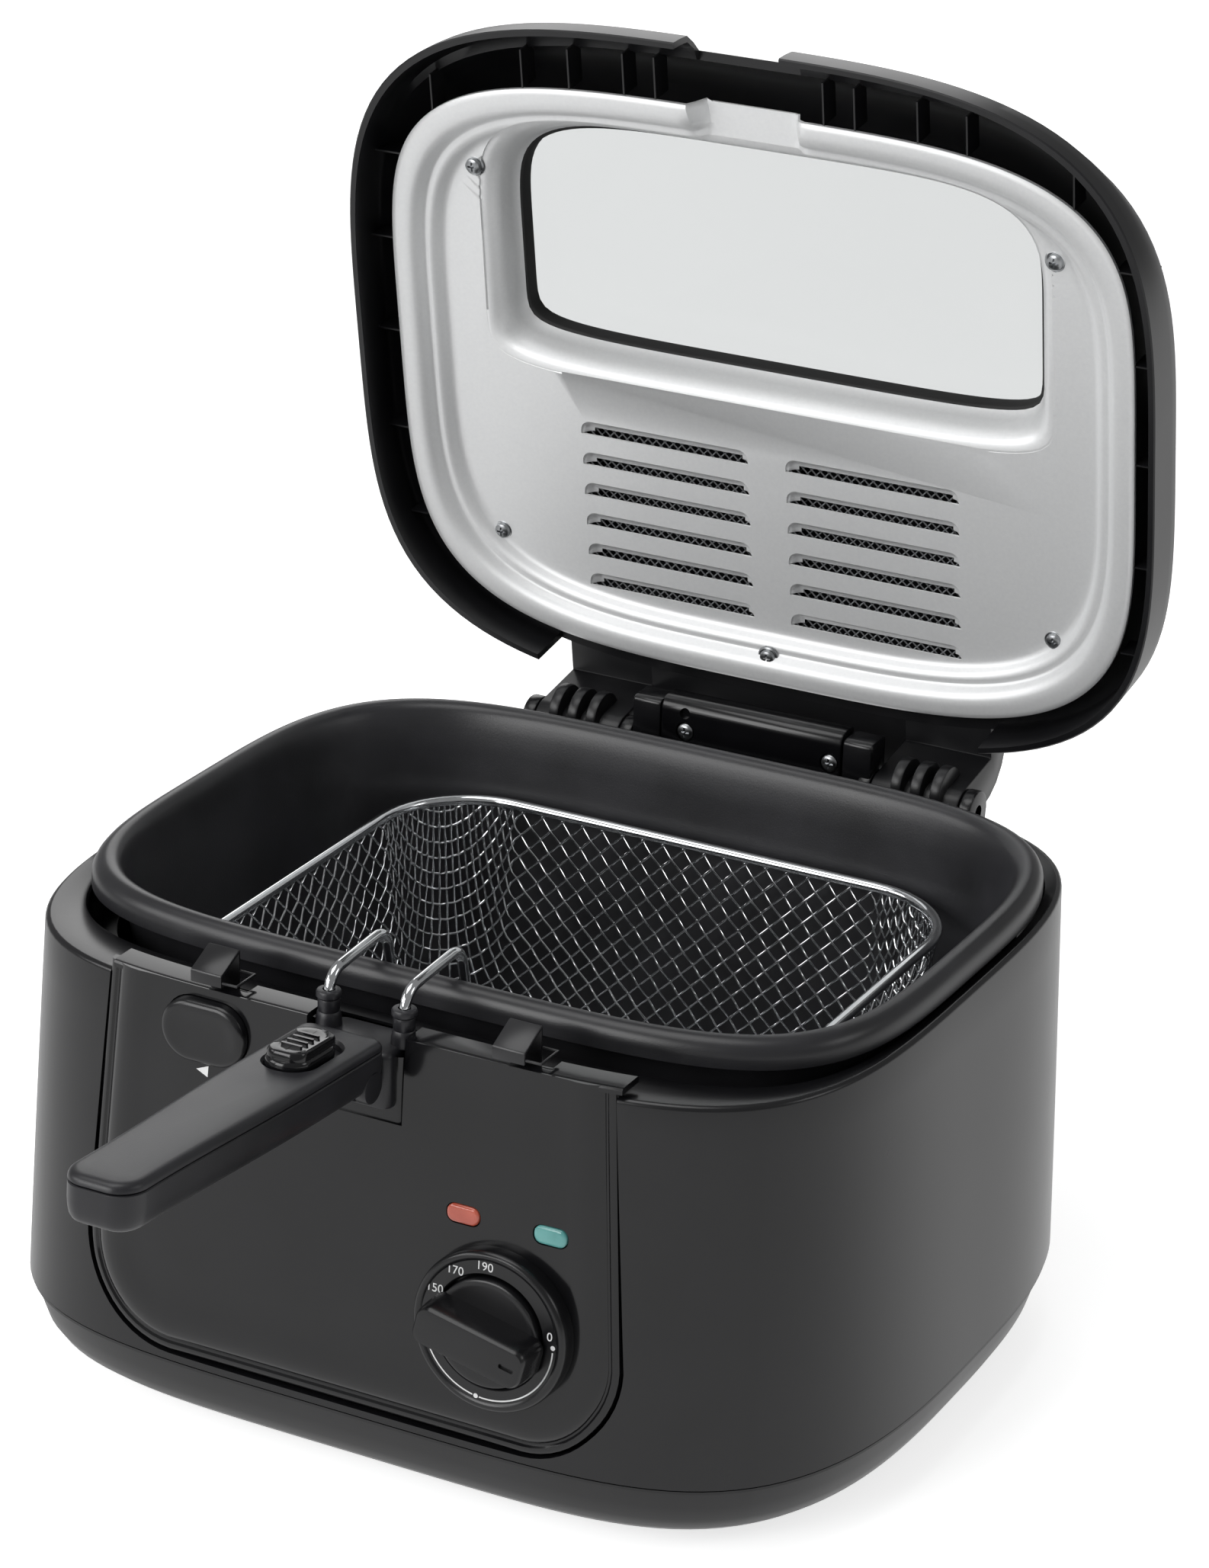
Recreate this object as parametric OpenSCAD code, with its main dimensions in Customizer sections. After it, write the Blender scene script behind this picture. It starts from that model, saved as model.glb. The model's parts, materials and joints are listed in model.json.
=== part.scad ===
// Deep fryer with an open lid, a lifting wire basket and a folding basket handle.
// Millimetres, +Z up, front towards -Y. The origin lies on the table under the
// centre of the oil pot. The lid is built closed and then turned open about its hinge.

/* [Body] */
// Height of the pot's rim plane above the table
rim_z = 142; // [125:1:170]
// How far the deck's outer edge lies below the rim plane
deck_drop = 4.5; // [4:0.1:6]
// Width of the housing at its deck
deck_w = 264.6; // [258:0.2:300]
// Depth of the housing at its deck
deck_d = 235.2; // [228:0.2:260]
// How far the housing's centre lies in front of the pot's centre at the deck
deck_shift = 7.4; // [6.4:0.1:9]
// Width added from the deck down to the base crease
draft_w = 16.6; // [4:0.2:24]
// Depth added from the deck down to the base crease
draft_d = 6; // [2:0.2:12]
// Further forward shift of the housing's centre at the crease
draft_shift = 3.8; // [0:0.1:6]
// Height of the front panel's ledge above the deck
ledge_h = 3.5; // [2:0.1:4]
// Depth of that ledge from front to back
ledge_d = 9; // [6:0.5:10]
// Height of the crease where the plinth starts
crease_z = 24; // [16:0.5:34]
// How far the plinth tapers in below the crease
plinth_inset = 17; // [6:0.5:22]
// Wall of the moulded housing
wall = 2.6; // [2:0.1:4]
// Height of the rubber feet
foot_h = 5; // [3:0.5:8]
// Radius of the rubber feet
foot_r = 8.5; // [6:0.5:10]

/* [Oil pot] */
// Outer width of the rolled rim
rim_w = 260; // [254:0.5:262]
// Outer depth of the rolled rim
rim_d = 211; // [205:0.5:213]
// Squareness of the rim outline
rim_n = 3.58; // [3:0.02:4.5]
// Depth of the pot below the rim plane
pot_depth = 106; // [90:1:108]
// Sheet thickness of the pot
pot_wall = 1.6; // [1.2:0.1:2.4]
// Taper of the pot wall from rim to floor
pot_taper = 12; // [8:0.5:20]

/* [Lid] */
// Width of the lid at its skirt edge
lid_w = 269; // [266:0.2:290]
// Depth of the lid at its skirt edge
lid_d = 236; // [235.6:0.1:240]
// Height of the lid's skirt
skirt_h = 16.4; // [12:0.2:20]
// How far the skirt's front leans back
skirt_lean = 6.5; // [4:0.5:8]
// Height of the dome above the skirt
dome_h = 24; // [16:0.5:32]
// Inset of the dome's flat top from the skirt
dome_inset = 46; // [30:1:60]
// Wall of the lid shell
lid_wall = 2.4; // [1.8:0.1:3]
// Angle through which the lid stands open
lid_open = 80.1; // [0:0.1:85]
// Hinge axis, distance behind the pot's centre
hinge_y = 118.1; // [117.5:0.1:119]
// Hinge axis, distance below the rim plane
hinge_drop = 8.2; // [8:0.1:9]
// Radius of the hinge knuckles
knuckle_r = 7; // [6.5:0.1:7.4]
// Radius of the steel hinge pins
pin_r = 2.5; // [2:0.1:3]

/* [Lid plate and window] */
// Width of the silver inner plate
plate_w = 247; // [240:0.5:250]
// Depth of the silver inner plate
plate_d = 196; // [190:0.5:198]
// Sheet thickness of the inner plate
plate_t = 0.9; // [0.6:0.1:1.4]
// Width of the window
window_w = 168; // [140:1:172]
// Front edge of the window in front of the pot's centre
window_front = 73.7; // [66:0.5:76]
// Rear edge of the window in front of the pot's centre
window_rear = 1.5; // [0:0.5:8]
// Rows of louvres
louvre_rows = 6; // [4:1:6]
// Pitch of the louvre rows
louvre_pitch = 10.76; // [9.5:0.05:11]
// Length of one louvre
louvre_len = 58; // [48:1:60]

/* [Controls] */
// Distance of the knob, and of each catch, from the middle
control_x = 47.5; // [44:0.5:50]
// Depth of the knob's centre below the rim plane
knob_drop = 78; // [74:0.5:82]
// Diameter of the dial ring
dial_d = 47.5; // [42:0.5:50]
// Width of the release button
button_w = 27; // [22:0.5:30]
// Height of the release button
button_h = 18.5; // [15:0.5:19]
// Travel of the release button and its latch
button_travel = 3.5; // [2:0.5:4]

/* [Basket] */
// Width of the basket's rim wire
basket_w = 186; // [170:1:196]
// Depth of the basket's rim wire, front to back
basket_d = 168; // [150:1:172]
// Drop of the rim wire below the pot's rim plane
basket_drop = 22.7; // [18:0.1:28]
// Depth of the mesh below its rim wire
mesh_depth = 68; // [55:1:72]
// Radius of the rim and fork wires
wire_r = 1.7; // [1.4:0.1:2]
// Distance of each fork wire from the middle
fork_x = 11.9; // [11:0.1:13]
// Length of the folding handle
handle_len = 118; // [95:1:125]
// Width of the handle
handle_w = 26; // [24:0.5:28]
// Thickness of the handle
handle_t = 14; // [12:0.5:16]
// Upward tilt of the handle
handle_tilt = 4; // [0:0.5:6]

/* [Hidden] */
$fn = 48;
ring_n = 60;
gap = 0.3;
fit = 0.05;
eps = 0.02;
black = [0.11, 0.11, 0.115];
steel = [0.74, 0.75, 0.76];
deck_z = rim_z - deck_drop;
lid_z = deck_z + 0.5;
plate_z = lid_z + skirt_h;
hinge_z = rim_z - hinge_drop;
well_drop = 2.2;
panel_proud = 0.8;
panel_back = 2.1;

// ---------------------------------------------------------------- helpers
function spow(v, p) = sign(v) * pow(abs(v), p);
// Closed outline with half width a, reach bf to the front and br to the rear of y0.
// n is the squareness across, mf and mr the squareness of the front and rear halves.
function outline(a, bf, br, n, mf, mr, y0) = [for (k = [0:ring_n - 1])
    let (t = 360 * (k + 0.5) / ring_n, front = sin(t) < 0)
    [a * spow(cos(t), 2 / n), y0 + (front ? bf : br) * spow(sin(t), 2 / (front ? mf : mr))]];
function lift(pts, z) = [for (p = pts) [p[0], p[1], z]];
// Skin through rings with equal numbers of points, closed by flat ends or, with
// loop, joined from the last ring back to the first
module skin(rings, loop = false) {
    n = len(rings[0]);
    m = len(rings);
    last = loop ? m - 1 : m - 2;
    sides = [for (i = [0:last], k = [0:n - 1])
        let (j = (i + 1) % m, l = (k + 1) % n)
        each [[i * n + k, j * n + k, j * n + l], [i * n + k, j * n + l, i * n + l]]];
    caps = loop ? [] : [[for (k = [0:n - 1]) k], [for (k = [n - 1:-1:0]) (m - 1) * n + k]];
    polyhedron([for (r = rings) each r], concat(sides, caps), convexity = 8);
}
module square_round(w, d, r) {
    union() {
        square([w - 2 * r, d], center = true);
        square([w, d - 2 * r], center = true);
        for (x = [-1, 1], y = [-1, 1])
            translate([x * (w / 2 - r), y * (d / 2 - r)]) circle(r);
    }
}
// Rounded prism standing on z = 0, centred in X and Y
module pad(w, d, h, r) {
    linear_extrude(h) square_round(w, d, r);
}
module bar_y(x, y0, z, r, l) {
    translate([x, y0, z]) rotate([-90, 0, 0]) cylinder(r = r, h = l);
}
module bar_x(x0, y, z, r, l) {
    translate([x0, y, z]) rotate([0, 90, 0]) cylinder(r = r, h = l);
}
// Profile drawn in the YZ plane, extruded along X from x0
module side_profile(x0, w) {
    translate([x0, 0, 0]) rotate([90, 0, 90]) linear_extrude(w) children();
}
module both() {
    children();
    mirror([1, 0, 0]) children();
}
// Round wire swept through a list of points
function unit(v) = v / norm(v);
function tangent(p, i) = unit(p[min(i + 1, len(p) - 1)] - p[max(i - 1, 0)]);
function ring_at(c, t, side, r, k) = let (s = unit(side - (side * t) * t), u = cross(t, s))
    [for (j = [0:k - 1]) c + r * (cos(360 * j / k) * s + sin(360 * j / k) * u)];
module wire(p, r, side, k) {
    skin([for (i = [0:len(p) - 1]) ring_at(p[i], tangent(p, i), side, r, k)]);
}
// Closed wire through points that go round the vertical axis
module hoop(p, r, k) {
    m = len(p);
    skin([for (i = [0:m - 1])
        ring_at(p[i], unit(p[(i + 1) % m] - p[(i + m - 1) % m]), [0, 0, 1], r, k)], loop = true);
}
// Points of an arc in the YZ plane at x
function arc_yz(x, y, z, r, a0, a1, n) = [for (i = [0:n])
    let (a = a0 + (a1 - a0) * i / n) [x, y + r * cos(a), z + r * sin(a)]];

// ---------------------------------------------------------------- housing
// Outline of the housing wall at height z, grown by g
function wall_at(z, g = 0) = let (s = (deck_z - z) / (deck_z - crease_z),
    a = (deck_w + s * draft_w) / 2 + g, b = (deck_d + s * draft_d) / 2 + g)
    lift(outline(a, b, b, 4.77, 3.65 - 0.75 * s, 3.65 - 0.75 * s,
        -deck_shift - s * draft_shift), z);
// Y of the housing's front face at height z on the middle plane
function front_y(z) = let (s = (deck_z - z) / (deck_z - crease_z))
    -deck_shift - s * draft_shift - (deck_d + s * draft_d) / 2;
panel_tilt = atan((front_y(deck_z) - front_y(crease_z)) / (deck_z - crease_z));
// Opening around the pot, grown by g
function well_at(z, g = 0) = lift(outline(rim_w / 2 - 3 + g, rim_d / 2 + 2.3 + g,
    rim_d / 2 + 2.3 + g, 6.4, 2.86, 2.86, 0), z);
// Outline inset by off from the pot's rolled rim
function rim_at(z, off) = lift(outline(rim_w / 2 - off, rim_d / 2 - off, rim_d / 2 - off,
    rim_n, rim_n, rim_n, 0), z);
module wall_solid(g) {
    skin([wall_at(crease_z, g), wall_at(deck_z, g)]);
}
module housing_skin() {
    low = deck_z - well_drop;
    difference() {
        skin([wall_at(crease_z), wall_at(deck_z - 1.2), wall_at(deck_z - 0.4, -0.3),
            wall_at(deck_z, -1.2), well_at(low, 0.6), well_at(low - 1, 0)]);
        difference() {
            skin([wall_at(crease_z - 1, -wall), wall_at(deck_z - wall - 3, -wall),
                wall_at(deck_z - wall - 1, -wall - 2)]);
            skin([well_at(low - 12 - wall, wall), well_at(deck_z, wall)]);
        }
        skin([well_at(low - 12), well_at(low - 0.9)]);
        skin([rim_at(low - 30, 6), rim_at(low - 11.9, 6)]);
    }
}
// Face of the front panel in the XZ plane, grown by g
panel_top_w = 160;
panel_low_w = 175;
panel_low = rim_z - 114.5;
panel_r = 30;
module panel_face(g) {
    mid = panel_low + panel_r;
    union() {
        polygon([[-panel_top_w / 2 - g, deck_z + 1], [-panel_low_w / 2 - g, mid],
            [panel_low_w / 2 + g, mid], [panel_top_w / 2 + g, deck_z + 1]]);
        translate([-panel_low_w / 2 + panel_r, panel_low - g])
            square([panel_low_w - 2 * panel_r, panel_r + g]);
        for (s = [-1, 1]) translate([s * (panel_low_w / 2 - panel_r), mid]) circle(panel_r + g);
    }
}
module panel_prism(g) {
    translate([0, -60, 0]) rotate([90, 0, 0]) linear_extrude(100) panel_face(g);
}
notch_w = 31;
notch_low = rim_z - 26.5;
notch_back = -110;
catch_w = 10;
catch_y = -117;
ear_t = 4.2;
arm_in = 44;
arm_out = 73.7;
post_x = 115;
post_front = -98;
post_rear = 76;
inlet_x = -58;
inlet_z = 44;
inlet_r = 6;
cover_screw_x = 25;
cover_screw_z = rim_z - 0.5;
cover_y = 113;
// Ear on the hinge carrier that holds one end of a pin
module hinge_ear(x) {
    side_profile(x, ear_t) union() {
        translate([hinge_y, hinge_z]) circle(knuckle_r);
        polygon([[hinge_y - 12, hinge_z - 8], [hinge_y - knuckle_r, hinge_z],
            [hinge_y + knuckle_r, hinge_z], [hinge_y + 1, hinge_z - 30], [hinge_y - 12, hinge_z - 30]]);
    }
}
module hinge_carrier() {
    difference() {
        union() {
            both() {
                hinge_ear(arm_out + gap);
                hinge_ear(arm_in - gap - ear_t);
            }
            translate([-arm_out - gap - ear_t, hinge_y - 14, hinge_z - 38])
                cube([2 * (arm_out + gap + ear_t), 15, 20]);
            translate([-29.5, hinge_y - 12, hinge_z - 20]) cube([59, 16, 10]);
            translate([-29.5, cover_y + 2.6, hinge_z - 20]) cube([59, 6.5, 34]);
        }
        wall_solid(-1);
    }
}
// Space in front of the deck that takes the basket's bracket
module notch_space(g) {
    translate([-notch_w / 2 - g, -deck_d, notch_low - g])
        cube([notch_w + 2 * g, deck_d + notch_back + g, 60]);
}
module housing() {
    color(black) difference() {
        union() {
            difference() {
                housing_skin();
                difference() {
                    panel_prism(gap);
                    wall_solid(-wall - eps);
                }
            }
            hinge_carrier();
            intersection() {
                difference() {
                    notch_space(2);
                    translate([-40, -deck_d, 0]) cube([80, deck_d - 122.6, 400]);
                    translate([-40, -200, deck_z - 1.2]) cube([80, 400, 60]);
                }
                wall_solid(-1);
            }
            intersection() {
                both() for (y = [post_front, post_rear])
                    translate([post_x, y, crease_z + 8]) cylinder(r = 6.5, h = 30);
                wall_solid(-1);
            }
        }
        notch_space(0);
        both() bar_x(arm_in - 8, hinge_y, hinge_z, pin_r + fit, 60);
        catch_slots();
        // room for the release button and its travel
        translate([-control_x, button_front + button_travel + 1.2, button_z]) rotate([90, 0, 0])
            pad(button_w + 1.2, button_h + 1.2, 20, button_h / 2);
        translate([-control_x, -110, button_z]) rotate([90, 0, 0]) pad(button_w + 8, 11.8, 20, 2);
        bar_y(inlet_x, 60, inlet_z, inlet_r + fit, 60);
        for (x = [-cover_screw_x, cover_screw_x]) bar_y(x, 100, cover_screw_z, 1.5 + fit, 30);
        both() for (y = [post_front, post_rear])
            translate([post_x, y, crease_z]) cylinder(r = 1.5 + fit, h = 30);
    }
}

// ---------------------------------------------------------------- base
floor_t = 2.6;
foot_x = 88;
foot_front = -88;
foot_rear = 66;
function tray_at(z, g) = lift(wall_at(crease_z, g), z);
module base_tray() {
    in = wall + 2 * fit;
    color(black) difference() {
        union() {
            skin([
                tray_at(foot_h, -plinth_inset),
                tray_at(foot_h + 5, -plinth_inset * 0.62),
                tray_at(crease_z - 3, -2),
                tray_at(crease_z, -0.6),
                tray_at(crease_z, -in),
                wall_at(crease_z + 6, -in),
                wall_at(crease_z + 6, -in - 2.2),
                tray_at(crease_z - 4, -in - 2.2),
                tray_at(foot_h + floor_t + 3, -plinth_inset * 0.62 - 3.4),
                tray_at(foot_h + floor_t, -plinth_inset - 1.6)
            ]);
            both() for (y = [-46, 46])
                translate([68, y, foot_h + 1]) cylinder(r = 6, h = rim_z - pot_depth - foot_h - 1);
            both() for (y = [post_front, post_rear])
                translate([post_x, y, foot_h + 6]) cylinder(r = 5, h = crease_z + 8 - foot_h - 6);
        }
        both() for (y = [post_front, post_rear]) translate([post_x, y, 0]) {
            cylinder(r = 1.5 + fit, h = 60);
            cylinder(r = 3.4, h = foot_h + 9);
        }
        both() for (y = [foot_front, foot_rear])
            translate([foot_x, y, 0]) cylinder(r = 3 + fit, h = 20);
        for (x = [-8:4:8]) translate([x * 4, 10, 0]) pad(4, 30, 20, 1.9);
    }
}
module base_screws() {
    color(steel) both() for (y = [post_front, post_rear]) translate([post_x, y, foot_h + 9]) {
        cylinder(r = 1.5, h = 26);
        translate([0, 0, -2]) cylinder(r = 3, h = 2);
    }
}
module rubber_feet() {
    color([0.16, 0.16, 0.16]) both() for (y = [foot_front, foot_rear]) translate([foot_x, y, 0]) {
        cylinder(r1 = foot_r - 1, r2 = foot_r, h = 1.5);
        translate([0, 0, 1.5]) cylinder(r = foot_r, h = foot_h - 1.5);
        cylinder(r = 3, h = foot_h + floor_t + 1);
    }
}

// ---------------------------------------------------------------- front panel
button_z = rim_z - 13.6;
lamp_z = rim_z - 47.6;
power_x = 35.8;
ready_x = 62.3;
lamp_w = 10;
lamp_h = 5.3;
// Local frame on the panel: +Z out of the panel, +Y up along it
module on_panel(x, z) {
    translate([x, front_y(z), z]) rotate([90 - panel_tilt, 0, 0]) children();
}
module panel_hole(x, z, w, h, r) {
    translate([x, -100, z]) rotate([90, 0, 0]) pad(w, h, 60, r);
}
ledge_low = deck_z + 0.7;
// Ledge that runs back over the deck from the panel's top edge
module panel_ledge() {
    top = deck_z + ledge_h;
    difference() {
        intersection() {
            skin([wall_at(ledge_low, panel_proud), wall_at(top - 1, panel_proud - 0.2),
                wall_at(top - 0.3, panel_proud - 0.8), wall_at(top, panel_proud - 1.8)]);
            translate([-panel_top_w / 2, -200, 0]) cube([panel_top_w, 100, 300]);
        }
        skin([wall_at(ledge_low - 1, -ledge_d), wall_at(top + 1, -ledge_d)]);
        catch_slots();
    }
}
module catch_slots() {
    for (x = [-control_x, control_x])
        translate([x + 2.6, catch_y, deck_z - 12]) pad(catch_w + 6.4, 9, 30, 1);
}
module front_panel() {
    color([0.09, 0.09, 0.095]) difference() {
        union() {
            difference() {
                union() {
                    intersection() {
                        panel_prism(0);
                        wall_solid(-0.7);
                    }
                    intersection() {
                        panel_prism(-8);
                        skin([wall_at(crease_z, panel_proud), wall_at(ledge_low + 0.2, panel_proud)]);
                    }
                }
                skin([wall_at(crease_z - 1, -wall + 0.1), wall_at(ledge_low + 0.5, -wall + 0.1)]);
            }
            panel_ledge();
            difference() {
                union() {
                    intersection() {
                        panel_prism(4);
                        wall_solid(-wall - 0.1);
                    }
                    intersection() {
                        panel_prism(-1);
                        wall_solid(-wall + 0.4);
                    }
                }
                wall_solid(-wall - panel_back);
                translate([-200, -200, deck_z - 8]) cube([400, 400, 60]);
                cube([400, 400, 2 * (crease_z + 6.3)], center = true);
            }
        }
        notch_space(2.4);
        panel_hole(-control_x, button_z, button_w + 0.6, button_h + 0.6, button_h / 2);
        for (x = [power_x, ready_x])
            on_panel(x, lamp_z) translate([0, 0, -15]) pad(lamp_w + 0.2, lamp_h + 0.2, 30, 1.5);
        on_panel(control_x, knob_z) {
            translate([0, 0, panel_proud - 0.4]) cylinder(r = dial_d / 2 + gap, h = 20);
            translate([0, 0, -20]) cylinder(r = 5 + fit, h = 40);
            translate([0, 0, -30 - wall - panel_back + 0.5]) pad(34, 30, 30, 2);
        }
    }
}
knob_z = rim_z - knob_drop;
dial_h = 5;
knob_r = 16;
module dial_ring() {
    color([0.13, 0.13, 0.135]) on_panel(control_x, knob_z) translate([0, 0, panel_proud - 0.4])
    difference() {
        union() {
            cylinder(r = dial_d / 2, h = dial_h - 1);
            translate([0, 0, dial_h - 1]) cylinder(r1 = dial_d / 2, r2 = dial_d / 2 - 1, h = 1);
        }
        translate([0, 0, 1.6]) cylinder(r = knob_r + 0.5, h = dial_h);
        translate([0, 0, -1]) cylinder(r = 9, h = dial_h);
    }
}
module thermostat_nut() {
    color(steel) on_panel(control_x, knob_z) translate([0, 0, panel_proud - 0.4]) difference() {
        cylinder(r = 7.5, h = 2.4, $fn = 6);
        translate([0, 0, -1]) cylinder(r = 5 + fit, h = 5);
    }
}
module thermostat() {
    back = -wall - panel_back + 0.4;
    color([0.75, 0.72, 0.64]) on_panel(control_x, knob_z) difference() {
        union() {
            translate([0, 0, back - 20]) pad(33, 29, 20, 2);
            translate([0, 0, back - 1]) cylinder(r = 5, h = 3.8 - back + 1);
            for (x = [-9, 9]) translate([x, -8, back - 26]) pad(6.3, 0.8, 8, 0.3);
        }
        translate([0, 0, back - 12]) cylinder(r = 3 + fit, h = 60);
    }
}
module thermostat_shaft() {
    back = -wall - panel_back + 0.4;
    color(steel) on_panel(control_x, knob_z) translate([0, 0, back - 11.9])
        cylinder(r = 3, h = 11.9 - back + 11);
}
module temperature_knob() {
    base = panel_proud - 0.4 + 1.6 + gap;
    color([0.12, 0.12, 0.125]) on_panel(control_x, knob_z) difference() {
        union() {
            translate([0, 0, base]) cylinder(r = knob_r, h = 5);
            translate([0, 0, base + 5]) cylinder(r1 = knob_r, r2 = knob_r - 1, h = 1);
            rotate(-12) translate([0, 0, base + 5]) pad(34, 9, 9, 4);
        }
        translate([0, 0, -1]) cylinder(r = 10.5, h = base + 3);
        translate([0, 0, -1]) cylinder(r = 3 + 0.01, h = 12.1);
    }
}
// How far the front wall bows back from its middle plane at x
function bow(x, z) = let (s = (deck_z - z) / (deck_z - crease_z))
    (deck_d + s * draft_d) / 2
    * (1 - pow(1 - pow(abs(x) / ((deck_w + s * draft_w) / 2), 4.77), 1 / (3.65 - 0.75 * s)));
module lens(x) {
    on_panel(x, lamp_z) translate([0, 0, -bow(x + lamp_w / 2 + 2, lamp_z)]) {
        translate([0, 0, -wall - panel_back - 1]) pad(lamp_w - 0.1, lamp_h - 0.1,
            wall + panel_back + panel_proud + 1.6, 1.4);
        translate([0, 0, -wall - panel_back - 2]) pad(lamp_w + 3, lamp_h + 3, 1.8, 1.5);
    }
}
module power_lens() {
    color([0.85, 0.29, 0.17]) lens(power_x);
}
module ready_lens() {
    color([0.25, 0.69, 0.65]) lens(ready_x);
}
module neon_lamps() {
    color([0.9, 0.85, 0.8]) for (x = [power_x, ready_x]) on_panel(x, lamp_z)
        translate([0, 0, -wall - panel_back - 2 - bow(x + lamp_w / 2 + 2, lamp_z)]) {
            translate([0, 0, -12]) cylinder(r = 3, h = 12);
            for (s = [-1, 1]) translate([s * 1.6, 0, -17]) cylinder(r = 0.4, h = 6);
        }
}
// Y of the wall behind the release button
button_front = front_y(button_z);
module release_button() {
    color(black) translate([-control_x, 0, button_z]) rotate([90, 0, 0]) union() {
        translate([0, 0, -button_front - 0.4]) pad(button_w, button_h, 3, button_h / 2 - eps);
        translate([0, 0, -button_front + 2.5]) pad(button_w - 1, button_h - 1, 0.8, button_h / 2 - 0.6);
        translate([0, 0, -button_front + 3.2]) pad(button_w - 3.6, button_h - 3.6, 0.7, button_h / 2 - 1.9);
        translate([0, 0, -button_front - 4.2]) pad(button_w - 2, 10.5, 4, 4);
        // two hooks behind the panel hold the button in
        for (s = [-1, 1]) {
            translate([s * 11, 0, -button_front - 7.8]) pad(2.8, 6, 3.8, 0.8);
            translate([s * 12.8, 0, -button_front - 7.8]) pad(6.4, 8, 1.2, 0.5);
        }
    }
}
bar_low = notch_low - 14;
module latch_bar() {
    color(steel) union() {
        for (x = [-control_x, control_x]) side_profile(x - catch_w / 2, catch_w) polygon([
            [catch_y, bar_low], [catch_y + 1.6, bar_low], [catch_y + 1.6, rim_z + 7.3],
            [catch_y - 5.6, rim_z + 3.6], [catch_y - 5.6, rim_z - 0.4],
            [catch_y - 4.2, rim_z - 0.4], [catch_y - 4.2, rim_z + 2.8], [catch_y, rim_z + 5]]);
        translate([-control_x - 8, catch_y, bar_low]) cube([2 * control_x + 16, 1.6, 7]);
        translate([-control_x - 4, catch_y - 1, bar_low + 1]) cube([8, 1.2, 5]);
    }
}
// Coil spring along X from the origin
module coil(r, w, turns, length) {
    n = turns * 12;
    wire([for (i = [0:n]) [length * i / n, r * cos(i * 30), r * sin(i * 30)]], w, [1, 0.01, 0], 6);
}
module latch_spring() {
    color(steel) translate([-control_x - 8.1 - 14, catch_y + 0.8, bar_low + 3.5]) {
        coil(2.6, 0.4, 7, 14);
        translate([-1.2, 0, 0]) rotate([0, 90, 0]) cylinder(r = 3, h = 1);
    }
}

// ---------------------------------------------------------------- services
module cord_inlet() {
    color([0.15, 0.15, 0.15]) difference() {
        union() {
            bar_y(inlet_x, 98, inlet_z, inlet_r, 16);
            bar_y(inlet_x, 109.5, inlet_z, inlet_r + 2.4, 4);
            bar_y(inlet_x, 100, inlet_z, inlet_r + 2, 2.5);
        }
        bar_y(inlet_x, 90, inlet_z, 3.2, 40);
    }
}
module terminal_block() {
    color([0.88, 0.87, 0.82]) translate([-58, 70, foot_h + floor_t]) difference() {
        union() {
            pad(34, 14, 11, 1.5);
            for (x = [-10, 0, 10]) translate([x, 0, 10]) cylinder(r = 3.6, h = 4);
        }
        for (x = [-10, 0, 10]) {
            translate([x, 0, 6]) cylinder(r = 1.6, h = 12);
            bar_y(x, -20, 5.5, 1.7, 40);
        }
    }
}

// ---------------------------------------------------------------- oil pot
// Inset of the pot's inner face from the rim outline at depth d below the rim plane
function pot_in(d) = 8.6 + pot_taper * d / 92;
module oil_pot() {
    r = 16;
    low = rim_z - pot_depth;
    o = pot_in(pot_depth - r) - pot_wall;
    color([0.2, 0.2, 0.21]) skin(concat(
        [rim_at(low, o + r + 8)],
        [for (a = [0, 22, 45, 68, 90])
            rim_at(low + r - r * cos(a), o + r - r * sin(a))],
        [rim_at(rim_z - 3, pot_in(3) - pot_wall), rim_at(rim_z + 1, 6.6), rim_at(rim_z + 2.6, 5),
            rim_at(rim_z + 2.6, 3), rim_at(rim_z + 1, 1.6), rim_at(rim_z - 3.8, 1.3),
            rim_at(rim_z - 3.8, 0), rim_at(rim_z + 0.6, 0), rim_at(rim_z + 2.6, 0.6),
            rim_at(rim_z + 3.9, 2), rim_at(rim_z + 4.4, 4), rim_at(rim_z + 3.9, 6.2),
            rim_at(rim_z + 2.4, 7.7), rim_at(rim_z - 2, pot_in(2))],
        [for (a = [90, 68, 45, 22, 0])
            rim_at(low + r - (r - pot_wall) * cos(a), o + r - (r - pot_wall) * sin(a))],
        [rim_at(low + pot_wall, o + r + 8)]));
}
heater_r = 54;
module heating_element() {
    low = rim_z - pot_depth;
    color([0.7, 0.7, 0.68]) difference() {
        union() {
            translate([0, 0, low - 4]) cylinder(r = heater_r + 9, h = 4, $fn = 96);
            translate([0, 0, low - 5]) rotate_extrude(angle = 310, $fn = 96)
                translate([heater_r, 0]) circle(3.4);
            for (a = [0, 310]) rotate(a) translate([heater_r, 0, low - 20]) cylinder(r = 2, h = 16);
        }
        translate([0, 0, low - 8]) cylinder(r = 22, h = 20);
    }
}
module thermal_cutout() {
    low = rim_z - pot_depth;
    color([0.8, 0.8, 0.78]) translate([0, 0, low - 8]) union() {
        cylinder(r = 8, h = 8);
        translate([0, 0, 4]) cylinder(r = 11, h = 1);
        for (x = [-4, 4]) translate([x, 0, -7]) pad(0.8, 6, 8, 0.3);
    }
}

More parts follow.
